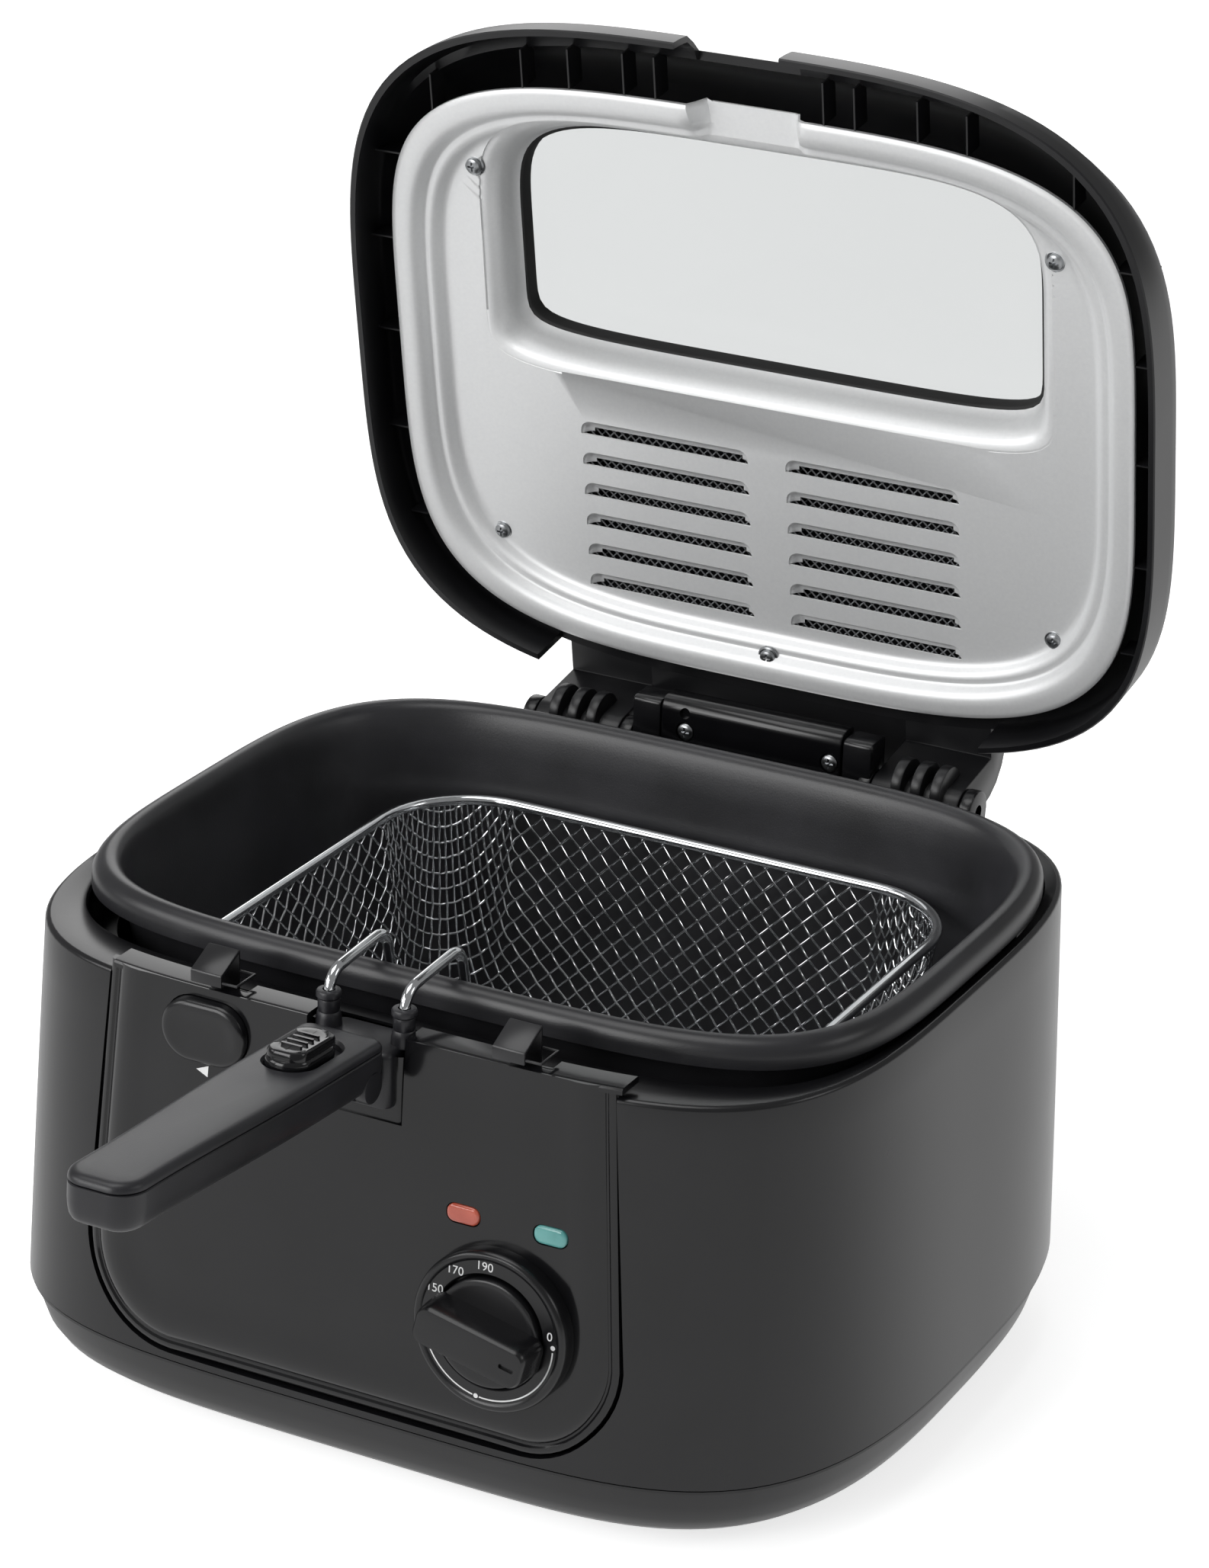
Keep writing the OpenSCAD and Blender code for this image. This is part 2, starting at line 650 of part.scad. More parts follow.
// ---------------------------------------------------------------- hinge
module hinge_cover() {
    color(black) difference() {
        side_profile(-33, 66) union() {
            translate([cover_y, hinge_z - 4]) square([10, rim_z + 6 - hinge_z + 4]);
            translate([cover_y + 5, rim_z + 5]) scale(1) circle(5);
        }
        translate([-29.5 - gap, cover_y + 2.5, hinge_z - 40]) cube([59 + 2 * gap, 6.8, 54.3]);
        for (x = [-cover_screw_x, cover_screw_x]) bar_y(x, 100, cover_screw_z, 1.5 + fit, 30);
        bar_y(-cover_screw_x, 100, cover_screw_z + 6, 1.5, 30);
    }
}
module hinge_cover_screws() {
    color(steel) for (x = [-cover_screw_x, cover_screw_x]) {
        bar_y(x, cover_y - 1.6, cover_screw_z, 2.7, 1.6);
        bar_y(x, cover_y - 0.2, cover_screw_z, 1.5, 8);
    }
}
module hinge_pins() {
    color(steel) both() bar_x(arm_in - gap - ear_t, hinge_y, hinge_z, pin_r,
        arm_out - arm_in + 2 * gap + 2 * ear_t);
}

// ---------------------------------------------------------------- lid, drawn closed
module opened() {
    translate([0, hinge_y, hinge_z]) rotate([-lid_open, 0, 0])
        translate([0, -hinge_y, -hinge_z]) children();
}
// Lid outline at height z: s is the inset of the dome, f the lean of the front
function lid_at(z, s, f, g = 0) = lift(outline(lid_w / 2 - s + g, lid_d / 2 + 0.5 - f - s + g,
    lid_d / 2 - 0.5 - s + g, 3.8, 3.6, 4, -deck_shift + 0.4), z);
dome = [[0, 0], [4, 0.055], [9, 0.14], [14, 0.27], [18.5, 0.44], [21.5, 0.63], [23.4, 0.83], [24, 1]];
function dome_at(i, g, drop) = lid_at(plate_z - drop + dome[i][0] * dome_h / 24,
    dome[i][1] * dome_inset, skirt_lean, g);
// Window outline, grown by g
function pane_at(z, g) = let (b = (window_front - window_rear) / 2)
    lift(outline(window_w / 2 + g, b + g, b + g, 6, 5, 9, -window_rear - b), z);
pane_z = plate_z + 11;
module window_space(g, z0, z1) {
    skin([pane_at(z0, g), pane_at(z1, g)]);
}
module lid_arm() {
    side_profile(arm_in, arm_out - arm_in) union() {
        translate([hinge_y, hinge_z]) circle(knuckle_r);
        polygon([[hinge_y - knuckle_r, hinge_z], [hinge_y - knuckle_r, plate_z + 0.2],
            [hinge_y - 19, plate_z + 0.2], [hinge_y - 19, plate_z + 13], [hinge_y - 6, plate_z + 12],
            [hinge_y + 4, plate_z + 4], [hinge_y + knuckle_r, plate_z - 6], [hinge_y + knuckle_r, hinge_z]]);
    }
}
screw_front = -62.1;
screw_rear = 64.1;
screw_x = 96;
screw_mid = 92.7;
module lid_shell() {
    t = lid_wall;
    color(black) opened() difference() {
        union() {
            skin(concat(
                [for (i = [7:-1:0]) dome_at(i, -t, t)],
                [lid_at(lid_z + 9, 0, 0.9, -t), lid_at(lid_z, 0, 0, -t), lid_at(lid_z, 0, 0),
                    lid_at(lid_z + 9, 0, 0.9)],
                [for (i = [0:7]) dome_at(i, 0, 0)]));
            difference() {
                both() lid_arm();
                skin([lid_at(plate_z - 20, 3, skirt_lean, -1), lid_at(plate_z + 4, 3, skirt_lean, -1),
                    lid_at(plate_z + 13.5, 13, skirt_lean, -1)]);
            }
            difference() {
                window_space(5, pane_z + 4, plate_z + dome_h - 1);
                window_space(2.2, pane_z, plate_z + dome_h + 5);
            }
            intersection() {
                difference() {
                    both() for (y = [screw_front, screw_rear])
                        translate([screw_x, y, plate_z + plate_t + fit]) cylinder(r = 4, h = 60);
                    skin([pane_at(plate_z - 1, 10.3 + plate_t), pane_at(pane_z, 7.3 + plate_t)]);
                }
                skin(concat([lid_at(lid_z, 2, 2)], [for (i = [0:7]) dome_at(i, -1, 1)]));
            }
            intersection() {
                translate([0, screw_mid, plate_z - 7.2 + plate_t]) cylinder(r = 4, h = 60);
                skin(concat([lid_at(lid_z, 2, 2)], [for (i = [0:7]) dome_at(i, -1, 1)]));
            }
        }
        window_space(2.2, pane_z, plate_z + dome_h + 5);
        // fork wires pass through the middle of the front skirt
        translate([-17, -160, lid_z - 5]) cube([34, 60, skirt_h + 5]);
        // front skirt clears the panel's ledge
        translate([-panel_top_w / 2 - 2, -160, lid_z - 5])
            cube([panel_top_w + 4, 50, 5 + ledge_h]);
        // rear skirt ends above the hinge
        translate([-86, 60, lid_z - 5]) cube([172, hinge_y - knuckle_r - 0.2 - 60, skirt_h + 5 - 0.2]);
        // pockets over the two catches
        for (x = [-control_x, control_x])
            translate([x - 7.5, -lid_d / 2 - deck_shift + 2.1, lid_z - 5]) cube([19.5, 14, 18]);
        for (i = [0:4], x = [-1, 1])
            translate([x * 36, 26 + i * 11, plate_z]) pad(50, 4, 60, 1.9);
        both() bar_x(arm_in - 8, hinge_y, hinge_z, pin_r + fit, 60);
        both() for (y = [screw_front, screw_rear])
            translate([screw_x, y, plate_z - 1]) cylinder(r = 1.5 + fit, h = 10);
        translate([0, screw_mid, plate_z - 10]) cylinder(r = 1.5 + fit, h = 12);
    }
}
// Outline of the inner plate, inset by o
function plate_at(z, o) = lift(outline(plate_w / 2 - o, plate_d / 2 - o, plate_d / 2 - o,
    4.4, 4.4, 4.4, 0), z);
flange = [[0, 7.2], [8, 7.2], [9.4, 6.4], [10.2, 4.6], [11, 2], [12.2, 0.5], [13.8, 0]];
channel_w = 30.6;
channel_h = 3;
louvre_y = 22.4;
louvre_x = 6.4;
module lid_plate() {
    t = plate_t;
    color([0.78, 0.79, 0.8]) opened() difference() {
        union() {
            difference() {
                skin(concat(
                    [for (i = [6:-1:0]) plate_at(plate_z - flange[i][1], flange[i][0])],
                    [for (i = [0:6]) plate_at(plate_z - flange[i][1] + t, flange[i][0])]));
                translate([-channel_w / 2, -plate_d, plate_z - 20])
                    cube([channel_w, plate_d - window_front - 2, 40]);
            }
            // raised channel for the fork wires
            difference() {
                translate([-channel_w / 2 - t, -plate_d / 2 + 1, plate_z - 7.2])
                    cube([channel_w + 2 * t, plate_d / 2 - window_front - 4 + t, 7.2 + channel_h + t]);
                translate([-channel_w / 2, -plate_d / 2 - 5, plate_z - 20])
                    cube([channel_w, plate_d / 2 - window_front + 2, 20 + channel_h]);
            }
            difference() {
                skin([pane_at(plate_z, 10 + t), pane_at(pane_z - t, 3 + t), pane_at(pane_z, 3 + t + 4)]);
                skin([pane_at(plate_z - 1, 10.7), pane_at(pane_z - t, 3)]);
            }
        }
        skin([pane_at(plate_z - 5, 13.5), pane_at(plate_z + 0.2, 9.9), pane_at(pane_z + 0.1, 2.95),
            pane_at(pane_z + 20, 2.95)]);
        for (s = [-1, 1], i = [0:louvre_rows - 1])
            translate([s * (louvre_x + louvre_len / 2), louvre_y + i * louvre_pitch, plate_z - 5])
                pad(louvre_len, 3.4, 10, 1.6);
        both() for (y = [screw_front, screw_rear])
            translate([screw_x, y, plate_z - 5]) cylinder(r = 1.5 + fit, h = 10);
        translate([0, screw_mid, plate_z - 15]) cylinder(r = 1.5 + fit, h = 20);
    }
}
module lid_screw(x, y, z) {
    translate([x, y, z]) {
        translate([0, 0, -1.8]) cylinder(r = 2.65, h = 1.8);
        translate([0, 0, -0.1]) cylinder(r = 1.5, h = 8);
    }
}
module lid_screws() {
    color(steel) opened() {
        both() for (y = [screw_front, screw_rear]) lid_screw(screw_x, y, plate_z);
        lid_screw(0, screw_mid, plate_z - 7.2);
    }
}
module window_gasket() {
    color([0.08, 0.08, 0.08]) opened() difference() {
        window_space(6.5, pane_z, pane_z + 2);
        window_space(0, pane_z - 1, pane_z + 3);
    }
}
module window_glass() {
    color([0.85, 0.87, 0.87, 0.5]) opened() window_space(5.5, pane_z + 2, pane_z + 4);
}
module filter_mesh() {
    color([0.55, 0.55, 0.56]) opened() translate([0, 49, plate_z + plate_t]) difference() {
        pad(140, 68, 3, 4);
        for (x = [-60:15:60], y = [-26:13:26])
            translate([x, y, -1]) pad(11, 9, 6, 1.5);
    }
}

// ---------------------------------------------------------------- basket
basket_y = -3.7;
basket_z = rim_z - basket_drop;
basket_taper = 8;
mesh_wire = 0.9;
// Point of the basket's wall at angle t and depth d
function basket_pt(t, d, g = 0) = let (s = min(d / mesh_depth, 1) * basket_taper,
    a = basket_w / 2 - s + g, b = basket_d / 2 - s + g)
    [a * spow(cos(t), 2 / 4.2), basket_y + b * spow(sin(t), 2 / 4.2), basket_z - d];
function basket_ring(d, g, n) = [for (k = [0:n - 1]) basket_pt(360 * (k + 0.5) / n, d, g)];
// Half width of the basket at a distance v from its middle, for half sizes a and b
function reach(a, b, v) = a * pow(1 - pow(min(abs(v) / b, 0.999), 4.2), 1 / 4.2);
// U-shaped wire across the basket: w half width at the top, f at the floor
function u_path(w, f) = let (r = 9) concat(
    [[-w, 0]], [for (a = [0, 30, 60, 90]) [-f + r - r * cos(a), -mesh_depth + r - r * sin(a)]],
    [for (a = [90, 60, 30, 0]) [f - r + r * cos(a), -mesh_depth + r - r * sin(a)]], [[w, 0]]);
module basket_mesh() {
    a = basket_w / 2;
    b = basket_d / 2;
    color(steel) union() {
        for (y = [-60:15:60]) let (w = reach(a, b, y), f = reach(a - basket_taper, b - basket_taper, y))
            wire([for (p = u_path(w, f)) [p[0], basket_y + y, basket_z + p[1]]], mesh_wire, [0, 1, 0], 4);
        for (x = [-75:15:75]) let (w = reach(b, a, x), f = reach(b - basket_taper, a - basket_taper, x))
            wire([for (p = u_path(w, f)) [x, basket_y + p[0], basket_z + p[1]]], mesh_wire, [1, 0, 0], 4);
        for (d = [15:15:mesh_depth - 10]) hoop(basket_ring(d, 0, 36), mesh_wire, 4);
    }
}
module basket_rim_wire() {
    color(steel) hoop(basket_ring(0, 0, 48), wire_r, 8);
}
fork_y = -120;
fork_in = basket_y - basket_d / 2 + 2 * wire_r - 0.3;
module basket_fork() {
    top = rim_z + 10.9;
    color(steel) for (x = [-fork_x, fork_x]) wire(concat(
        [[x, fork_y, rim_z - 14], [x, fork_y, rim_z + 2.9]],
        arc_yz(x, fork_y + 7, top - 8, 7, 170, 96, 6),
        arc_yz(x, fork_in - 7, top - 7, 7, 88, 10, 6),
        [[x, fork_in, rim_z - 4], [x, fork_in, basket_z - 16]]), wire_r, [1, 0, 0], 12);
}
module fork_collars() {
    color(black) for (x = [-fork_x, fork_x]) translate([x, fork_y, rim_z - 1]) difference() {
        union() {
            cylinder(r = 3, h = 5.5);
            translate([0, 0, 4]) cylinder(r = 3.4, h = 2.2);
        }
        translate([0, 0, -1]) cylinder(r = wire_r + fit, h = 10);
        translate([0, 0, 4]) cylinder(r1 = wire_r + fit, r2 = wire_r + 1.1, h = 2.3);
    }
}
pivot_y = -138;
pivot_z = rim_z - 11;
module handle_bracket() {
    color(black) difference() {
        union() {
            translate([-13, -130.5, rim_z - 22]) cube([26, 17.5, 17]);
            for (x = [-fork_x, fork_x]) translate([x, fork_y, rim_z - 6]) cylinder(r = 3.4, h = 5);
            side_profile(-8.5, 17) union() {
                translate([pivot_y, pivot_z]) circle(5);
                translate([pivot_y, pivot_z - 5]) square([10, 10]);
            }
        }
        for (x = [-fork_x, fork_x]) translate([x, fork_y, rim_z - 14]) cylinder(r = wire_r + fit, h = 30);
        bar_x(-20, pivot_y, pivot_z, 2.5 + fit, 40);
    }
}
// Handle frame: the origin on the pivot, the handle pointing to -Y
module on_handle() {
    translate([0, pivot_y, pivot_z]) rotate([-handle_tilt, 0, 0]) children();
}
handle_rear = 6.5;
handle_low = -2;
handle_split = handle_low + handle_t / 2;
module handle_plan(h, g) {
    linear_extrude(h) union() {
        translate([-handle_w / 2 + g, -handle_len + 20])
            square([handle_w - 2 * g, handle_len - 20 + handle_rear - g]);
        translate([0, -handle_len + 20]) square_round(handle_w - 2 * g, 30 - 2 * g, 9);
    }
}
module hinge_gap() {
    union() {
        bar_x(-9, 0, 0, 5.6, 18);
        translate([-9, -5.6, -10]) cube([18, 30, 10]);
        translate([-9, 0, -10]) cube([18, 30, 15.6]);
    }
}
module handle_bottom() {
    color(black) on_handle() difference() {
        union() {
            translate([0, 0, handle_low + 1.2]) handle_plan(handle_t / 2 - 1.2, 0);
            translate([0, 0, handle_low]) handle_plan(2, 1.4);
            for (x = [-handle_w / 2, 9.2]) bar_x(x, 0, 0, 4.8, handle_w / 2 - 9.2);
        }
        difference() {
            translate([0, 0, handle_low + 2.2]) handle_plan(20, 2.2);
            for (y = [-40, -90]) translate([0, y, -10]) cylinder(r = 4, h = 30);
            translate([-20, -9, -20]) cube([40, 40, 60]);
        }
        hinge_gap();
        bar_x(-20, 0, 0, 2.5 + fit, 40);
        for (y = [-40, -90]) translate([0, y, -10]) {
            cylinder(r = 1.5 + fit, h = 30);
            cylinder(r = 2.9, h = 10);
        }
    }
}
module handle_top() {
    h = handle_t - handle_t / 2;
    color(black) on_handle() difference() {
        union() {
            translate([0, 0, handle_split]) handle_plan(h - 1.5, 0);
            translate([0, 0, handle_split]) handle_plan(h, 1.8);
        }
        difference() {
            translate([0, 0, handle_split - 1]) handle_plan(h - 1.2, 2.2);
            for (y = [-40, -90]) translate([0, y, -10]) cylinder(r = 4, h = 30);
        }
        hinge_gap();
        translate([0, -16, handle_split]) pad(11, 22, 20, 2);
        for (y = [-40, -90]) translate([0, y, -10]) cylinder(r = 1.5 + fit, h = 19.2);
    }
}
module handle_slider() {
    under = handle_low + handle_t - 2.2;
    color([0.14, 0.14, 0.145]) on_handle() translate([0, -19.2, 0]) union() {
        translate([0, 0, under - 0.2]) pad(10.4, 15, 4, 1.8);
        translate([0, 0, under - 2.2]) pad(17, 20, 2, 1.5);
        for (y = [-4, 0, 4]) translate([0, y, under + 3.6]) pad(9, 1.4, 0.8, 0.6);
    }
}
module handle_pivot() {
    color(steel) on_handle() bar_x(-handle_w / 2 + 0.2, 0, 0, 2.5, handle_w - 0.4);
}
module handle_screws() {
    color(steel) on_handle() for (y = [-40, -90]) translate([0, y, 0]) {
        translate([0, 0, -1.6]) cylinder(r = 2.6, h = 1.6);
        translate([0, 0, -0.1]) cylinder(r = 1.5, h = 9);
    }
}

housing();
base_tray();
rubber_feet();
base_screws();
front_panel();
release_button();
latch_bar();
latch_spring();
dial_ring();
temperature_knob();
thermostat_shaft();
thermostat();
thermostat_nut();
power_lens();
ready_lens();
neon_lamps();
cord_inlet();
terminal_block();
oil_pot();
heating_element();
thermal_cutout();
hinge_cover();
hinge_cover_screws();
hinge_pins();
lid_shell();
lid_plate();
lid_screws();
window_gasket();
window_glass();
filter_mesh();
basket_mesh();
basket_rim_wire();
basket_fork();
fork_collars();
handle_bracket();
handle_bottom();
handle_top();
handle_slider();
handle_pivot();
handle_screws();
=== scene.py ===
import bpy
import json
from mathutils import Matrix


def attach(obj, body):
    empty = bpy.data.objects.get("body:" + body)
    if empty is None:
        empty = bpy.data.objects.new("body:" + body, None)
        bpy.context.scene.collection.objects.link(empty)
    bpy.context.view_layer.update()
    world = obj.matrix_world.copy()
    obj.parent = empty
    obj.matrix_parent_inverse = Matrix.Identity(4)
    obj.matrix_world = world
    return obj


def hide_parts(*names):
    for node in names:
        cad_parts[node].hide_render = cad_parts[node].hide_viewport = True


bl_info = {
    "name": "Deep Fryer",
    "version": (1, 0, 0),
    "blender": (4, 5, 0),
    "location": "View3D > Sidebar > Deep Fryer",
    "description": "Builds a household deep fryer with an open lid and a wire basket",
    "category": "Add Mesh",
}

import json
import math

import bmesh
import bpy
from mathutils import Matrix, Vector

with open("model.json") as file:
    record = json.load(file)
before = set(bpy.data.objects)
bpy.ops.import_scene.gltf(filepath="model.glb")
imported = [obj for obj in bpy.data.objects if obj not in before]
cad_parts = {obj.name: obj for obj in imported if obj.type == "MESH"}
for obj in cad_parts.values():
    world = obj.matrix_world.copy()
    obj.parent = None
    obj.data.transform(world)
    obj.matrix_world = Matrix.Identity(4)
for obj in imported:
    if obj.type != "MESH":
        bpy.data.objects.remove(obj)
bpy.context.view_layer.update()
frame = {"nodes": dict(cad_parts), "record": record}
NODES = frame["nodes"]

# Places shared by the pieces, in metres
RIM_Z = 0.142                       # middle of the pot's rolled rim
DECK_Z = 0.1375                     # top of the housing
CREASE_Z = 0.024                    # where the housing meets the plinth
HINGE = Vector((0.0, 0.1181, 0.1338))
LID_ANGLE = math.radians(80.1)
LID_Z = DECK_Z + 0.0005             # lower edge of the closed lid
PLATE_Z = LID_Z + 0.0164            # inner plate of the closed lid
RECESS_Z = RIM_Z - 0.0265           # floor of the bracket's recess
BUTTON_Z = RIM_Z - 0.0136
RECESS_X = 0.0155                   # half its width
BUTTON_X = -0.0475
LAMP_X, LAMP_Z = (0.0358, 0.0623), 0.0944
DIAL = (0.0475, 0.064)
CATCH_X, CATCH_Y = 0.0475, -0.117   # catches, each side of the middle
FORK_X, FORK_Y = 0.0119, -0.120     # fork wires, each side of the middle
BASKET_Y, BASKET_Z = -0.0037, 0.1193
FLOOR_X, FLOOR_Y, CORNER, HEEL = 0.076, 0.067, 0.014, 0.009
MESH_DEPTH, FLARE = 0.068, 0.008
PLATE_X, PLATE_Y = 0.1231, 0.0957   # half sizes of the inner plate
PIVOT_Y, PIVOT_Z = -0.138, RIM_Z - 0.011
PANEL_TILT = math.atan2(0.0068, DECK_Z - CREASE_Z)
OPENED = (Matrix.Translation(HINGE) @ Matrix.Rotation(-LID_ANGLE, 4, "X")
          @ Matrix.Translation(-HINGE))
# Handle frame: the pivot is the origin and the handle points to -Y
ON_HANDLE = (Matrix.Translation((0.0, PIVOT_Y, PIVOT_Z))
             @ Matrix.Rotation(math.radians(-4.0), 4, "X"))


# ---------------------------------------------------------------- colours and materials
def srgb(code, alpha=1.0):
    """Linear colour of an sRGB hex value, or of a colour property as it is."""
    if not isinstance(code, str):
        return list(code)[:3] + [alpha]
    parts = [int(code[i:i + 2], 16) / 255 for i in (1, 3, 5)]
    return [c / 12.92 if c <= 0.04045 else ((c + 0.055) / 1.055) ** 2.4 for c in parts] + [alpha]


def add(tree, kind, links=(), **settings):
    """Adds a shader node with its sockets, properties and links, given as (socket, output)."""
    node = tree.nodes.new(kind)
    for key, value in settings.items():
        socket = node.inputs.get(key.replace("_", " "))
        if socket is None:
            setattr(node, key, value)
        else:
            socket.default_value = value
    for socket, output in links:
        tree.links.new(output, node.inputs[socket])
    return node


def blank(name):
    """A new material, its empty node tree and the place of a point on the object."""
    material = bpy.data.materials.new(name)
    material.use_nodes = True
    tree = material.node_tree
    tree.nodes.clear()
    return material, tree, add(tree, "ShaderNodeTexCoord").outputs["Object"]


def finished(material, tree, shader):
    add(tree, "ShaderNodeOutputMaterial", [("Surface", shader.outputs[0])])
    return material


def noise(tree, place, scale, detail):
    return add(tree, "ShaderNodeTexNoise", [("Vector", place)], Scale=scale,
               Detail=detail).outputs["Fac"]


def surface(name, low, high, ends, rough, spread, relief, cloud, grain, **settings):
    """A solid finish: a cloud wanders through colour and gloss, and a grain raises the skin."""
    material, tree, place = blank(name)
    cloud, grain = noise(tree, place, *cloud), noise(tree, place, *grain)
    tint = add(tree, "ShaderNodeValToRGB", [("Fac", cloud)])
    for stop, colour, at in zip(tint.color_ramp.elements, (low, high), ends):
        stop.color, stop.position = srgb(colour), at
    gloss = add(tree, "ShaderNodeMapRange", [("Value", cloud)],
                To_Min=max(0.02, rough - spread), To_Max=rough + spread)
    bump = add(tree, "ShaderNodeBump", [("Height", grain)], Strength=relief, Distance=0.0002)
    return finished(material, tree, add(tree, "ShaderNodeBsdfPrincipled", [
        ("Base Color", tint.outputs["Color"]), ("Roughness", gloss.outputs["Result"]),
        ("Normal", bump.outputs["Normal"])], **settings))


def moulded(name, low, high, rough, spread, grain_mm, relief, coat=0.0):
    """Moulded plastic, rubber or coating: slight clouds in colour and gloss, and a fine skin."""
    return surface(name, low, high, (0.3, 0.7), rough, spread, relief, (38.0, 3.0),
                   (1000.0 / grain_mm, 2.0), IOR=1.5, Coat_Weight=coat, Coat_Roughness=0.06)


def metal(name, low, high, rough, spread, scale, relief=0.05, oxide=0.0):
    """Bare, plated or anodised metal: colour, gloss and relief wander together."""
    return surface(name, low, high, (0.0, 1.0), rough, spread, relief, (scale, 4.0), (scale, 4.0),
                   Metallic=1.0 - oxide)


def tube_glass(name, colour):
    """Thin clear glass with faint ripples."""
    material, tree, place = blank(name)
    bump = add(tree, "ShaderNodeBump", [("Height", noise(tree, place, 14.0, 1.0))], Strength=0.02,
               Distance=0.001)
    shader = add(tree, "ShaderNodeBsdfPrincipled", [("Normal", bump.outputs["Normal"])], IOR=1.47,
                 Roughness=0.05, Base_Color=srgb(colour), Transmission_Weight=1.0)
    return finished(material, tree, shader)


def pane_glass(name, colour):
    """Flat clear glass: what is behind it shows through, and the pane mirrors a little."""
    material, tree, place = blank(name)
    tint = add(tree, "ShaderNodeMapRange", [("Value", noise(tree, place, 9.0, 1.0))],
               To_Min=0.985, To_Max=1.0)
    grey = add(tree, "ShaderNodeMixRGB", [("Fac", tint.outputs[0])], Color1=(0, 0, 0, 1),
               Color2=srgb(colour))
    through = add(tree, "ShaderNodeBsdfTransparent", [("Color", grey.outputs[0])])
    mirror = add(tree, "ShaderNodeBsdfGlossy", Roughness=0.05)
    share = add(tree, "ShaderNodeFresnel", IOR=1.12)
    return finished(material, tree, add(tree, "ShaderNodeMixShader", [
        (0, share.outputs[0]), (1, through.outputs[0]), (2, mirror.outputs[0])]))


MATERIALS = {}


def finishes(c):
    """Every finish on the object, by material slot, from the colours that a user may change."""
    m = MATERIALS
    # Gloss ABS wall: a soft broad sheen with a faint orange-peel ripple
    m["body_plastic"] = moulded("abs_gloss_black", c.body_low, c.body_high, 0.26, 0.03, 0.5, 0.02)
    # Polished ABS front: sharper mirror lines that set it off from the walls
    m["panel_plastic"] = moulded("abs_high_gloss_black", "#0E0E10", "#131315", 0.13, 0.02, 0.6,
                                 0.01)
    # Satin polypropylene plinth: duller and a little warmer than the wall above it
    m["base_plastic"] = moulded("pp_satin_black", "#161617", "#1E1E20", 0.38, 0.05, 0.4, 0.06)
    # Spark-eroded polyamide grip: a fine matt grain that greys where light rakes it
    m["handle_plastic"] = moulded("pa_textured_black", c.handle_low, c.handle_high, 0.38, 0.05, 0.35,
                                  0.12)
    # Satin polypropylene lid: soft sheen on the skirt, dark inside
    m["shell_plastic"] = moulded("pp_satin_lid", "#131315", "#1A1A1C", 0.34, 0.04, 0.5, 0.03)
    # Acetal hinge parts: the deepest black, with tight highlights on the rolled top
    m["hinge_black"] = moulded("pom_black", "#08080A", "#0E0E10", 0.22, 0.03, 0.5, 0.02)
    # Blackened spring steel: dark folds with a faint dry gloss
    m["black_steel"] = moulded("blackened_steel", "#1B1B1D", "#262628", 0.3, 0.05, 0.4, 0.05)
    # Nitrile rubber: flat matt black, lightly mottled
    m["rubber"] = moulded("nitrile_rubber", "#141414", "#1F1F1F", 0.7, 0.08, 0.4, 0.15)
    # Steatite: pale unglazed stone with a dusty tooth
    m["ceramic"] = moulded("steatite_ceramic", "#B3AE9C", "#C6C2B2", 0.6, 0.08, 0.6, 0.1)
    # Natural PBT: off-white terminal moulding
    m["pale_plastic"] = moulded("pbt_natural", "#D8D5CA", "#E4E2D8", 0.45, 0.05, 0.6, 0.05)
    # Non-stick coating: charcoal with a pebbled spray texture and a wide soft shine
    m["pot_coating"] = moulded("nonstick_coating", "#202022", "#2C2C2F", 0.34, 0.05, 0.45, 0.14)
    # Anodised sheet: pale satin grey with a fine etched grain and soft broad reflections
    m["plate_aluminium"] = metal("anodised_aluminium_sheet", c.plate_low, c.plate_high, 0.46, 0.04,
                                 900.0, relief=0.04, oxide=0.55)
    # Cast aluminium: coarse grey skin of the heater
    m["heater_aluminium"] = metal("cast_aluminium", "#A2A3A0", "#B8B8B4", 0.5, 0.1, 260.0,
                                  relief=0.3)
    # Chrome plate: bright wires with hard glints
    m["chrome"] = metal("chrome_plated_wire", "#D0D2D4", "#E4E6E8", 0.1, 0.03, 90.0)
    # Zinc plate: cooler and duller than the chrome, slightly cloudy
    m["steel"] = metal("zinc_plated_steel", "#8E9092", "#A8AAAC", 0.3, 0.08, 400.0)
    # Pad-printed ink: flat white with a hint of unevenness
    m["white_print"] = moulded("screen_print_white", "#E6E6E6", "#F2F2F2", 0.5, 0.05, 0.5, 0.02)
    # Toughened pane: dims what is behind it a little and mirrors at a slant
    m["window_glass"] = pane_glass("tempered_glass", c.glass)
    # Thin tube glass of the lamps: clear with a warm tint
    m["neon_glass"] = tube_glass("neon_tube_glass", "#F2D9C4")
    # Cut acrylic lenses: a milky glow of colour under a glassy skin
    m["red_lens"] = moulded("red_acrylic", "#A8402C", c.red_lamp, 0.2, 0.05, 0.9, 0.3, coat=0.8)
    m["green_lens"] = moulded("teal_acrylic", "#3F8C88", c.green_lamp, 0.2, 0.05, 0.9, 0.3,
                              coat=0.8)


SLOT_FINISH = {
    "foot_rubber": "rubber", "screw_steel": "steel", "button_plastic": "body_plastic",
    "latch_steel": "black_steel", "spring_steel": "steel", "dial_plastic": "body_plastic",
    "knob_plastic": "body_plastic", "shaft_steel": "steel", "thermostat_ceramic": "ceramic",
    "nut_steel": "steel", "inlet_rubber": "rubber", "terminal_plastic": "pale_plastic",
    "cutout_steel": "steel", "hinge_plastic": "hinge_black", "pin_steel": "steel",
    "lid_plastic": "shell_plastic", "gasket_rubber": "rubber", "filter_steel": "steel",
    "mesh_steel": "chrome", "wire_chrome": "chrome", "collar_plastic": "handle_plastic",
    "bracket_plastic": "handle_plastic", "slider_plastic": "panel_plastic",
}


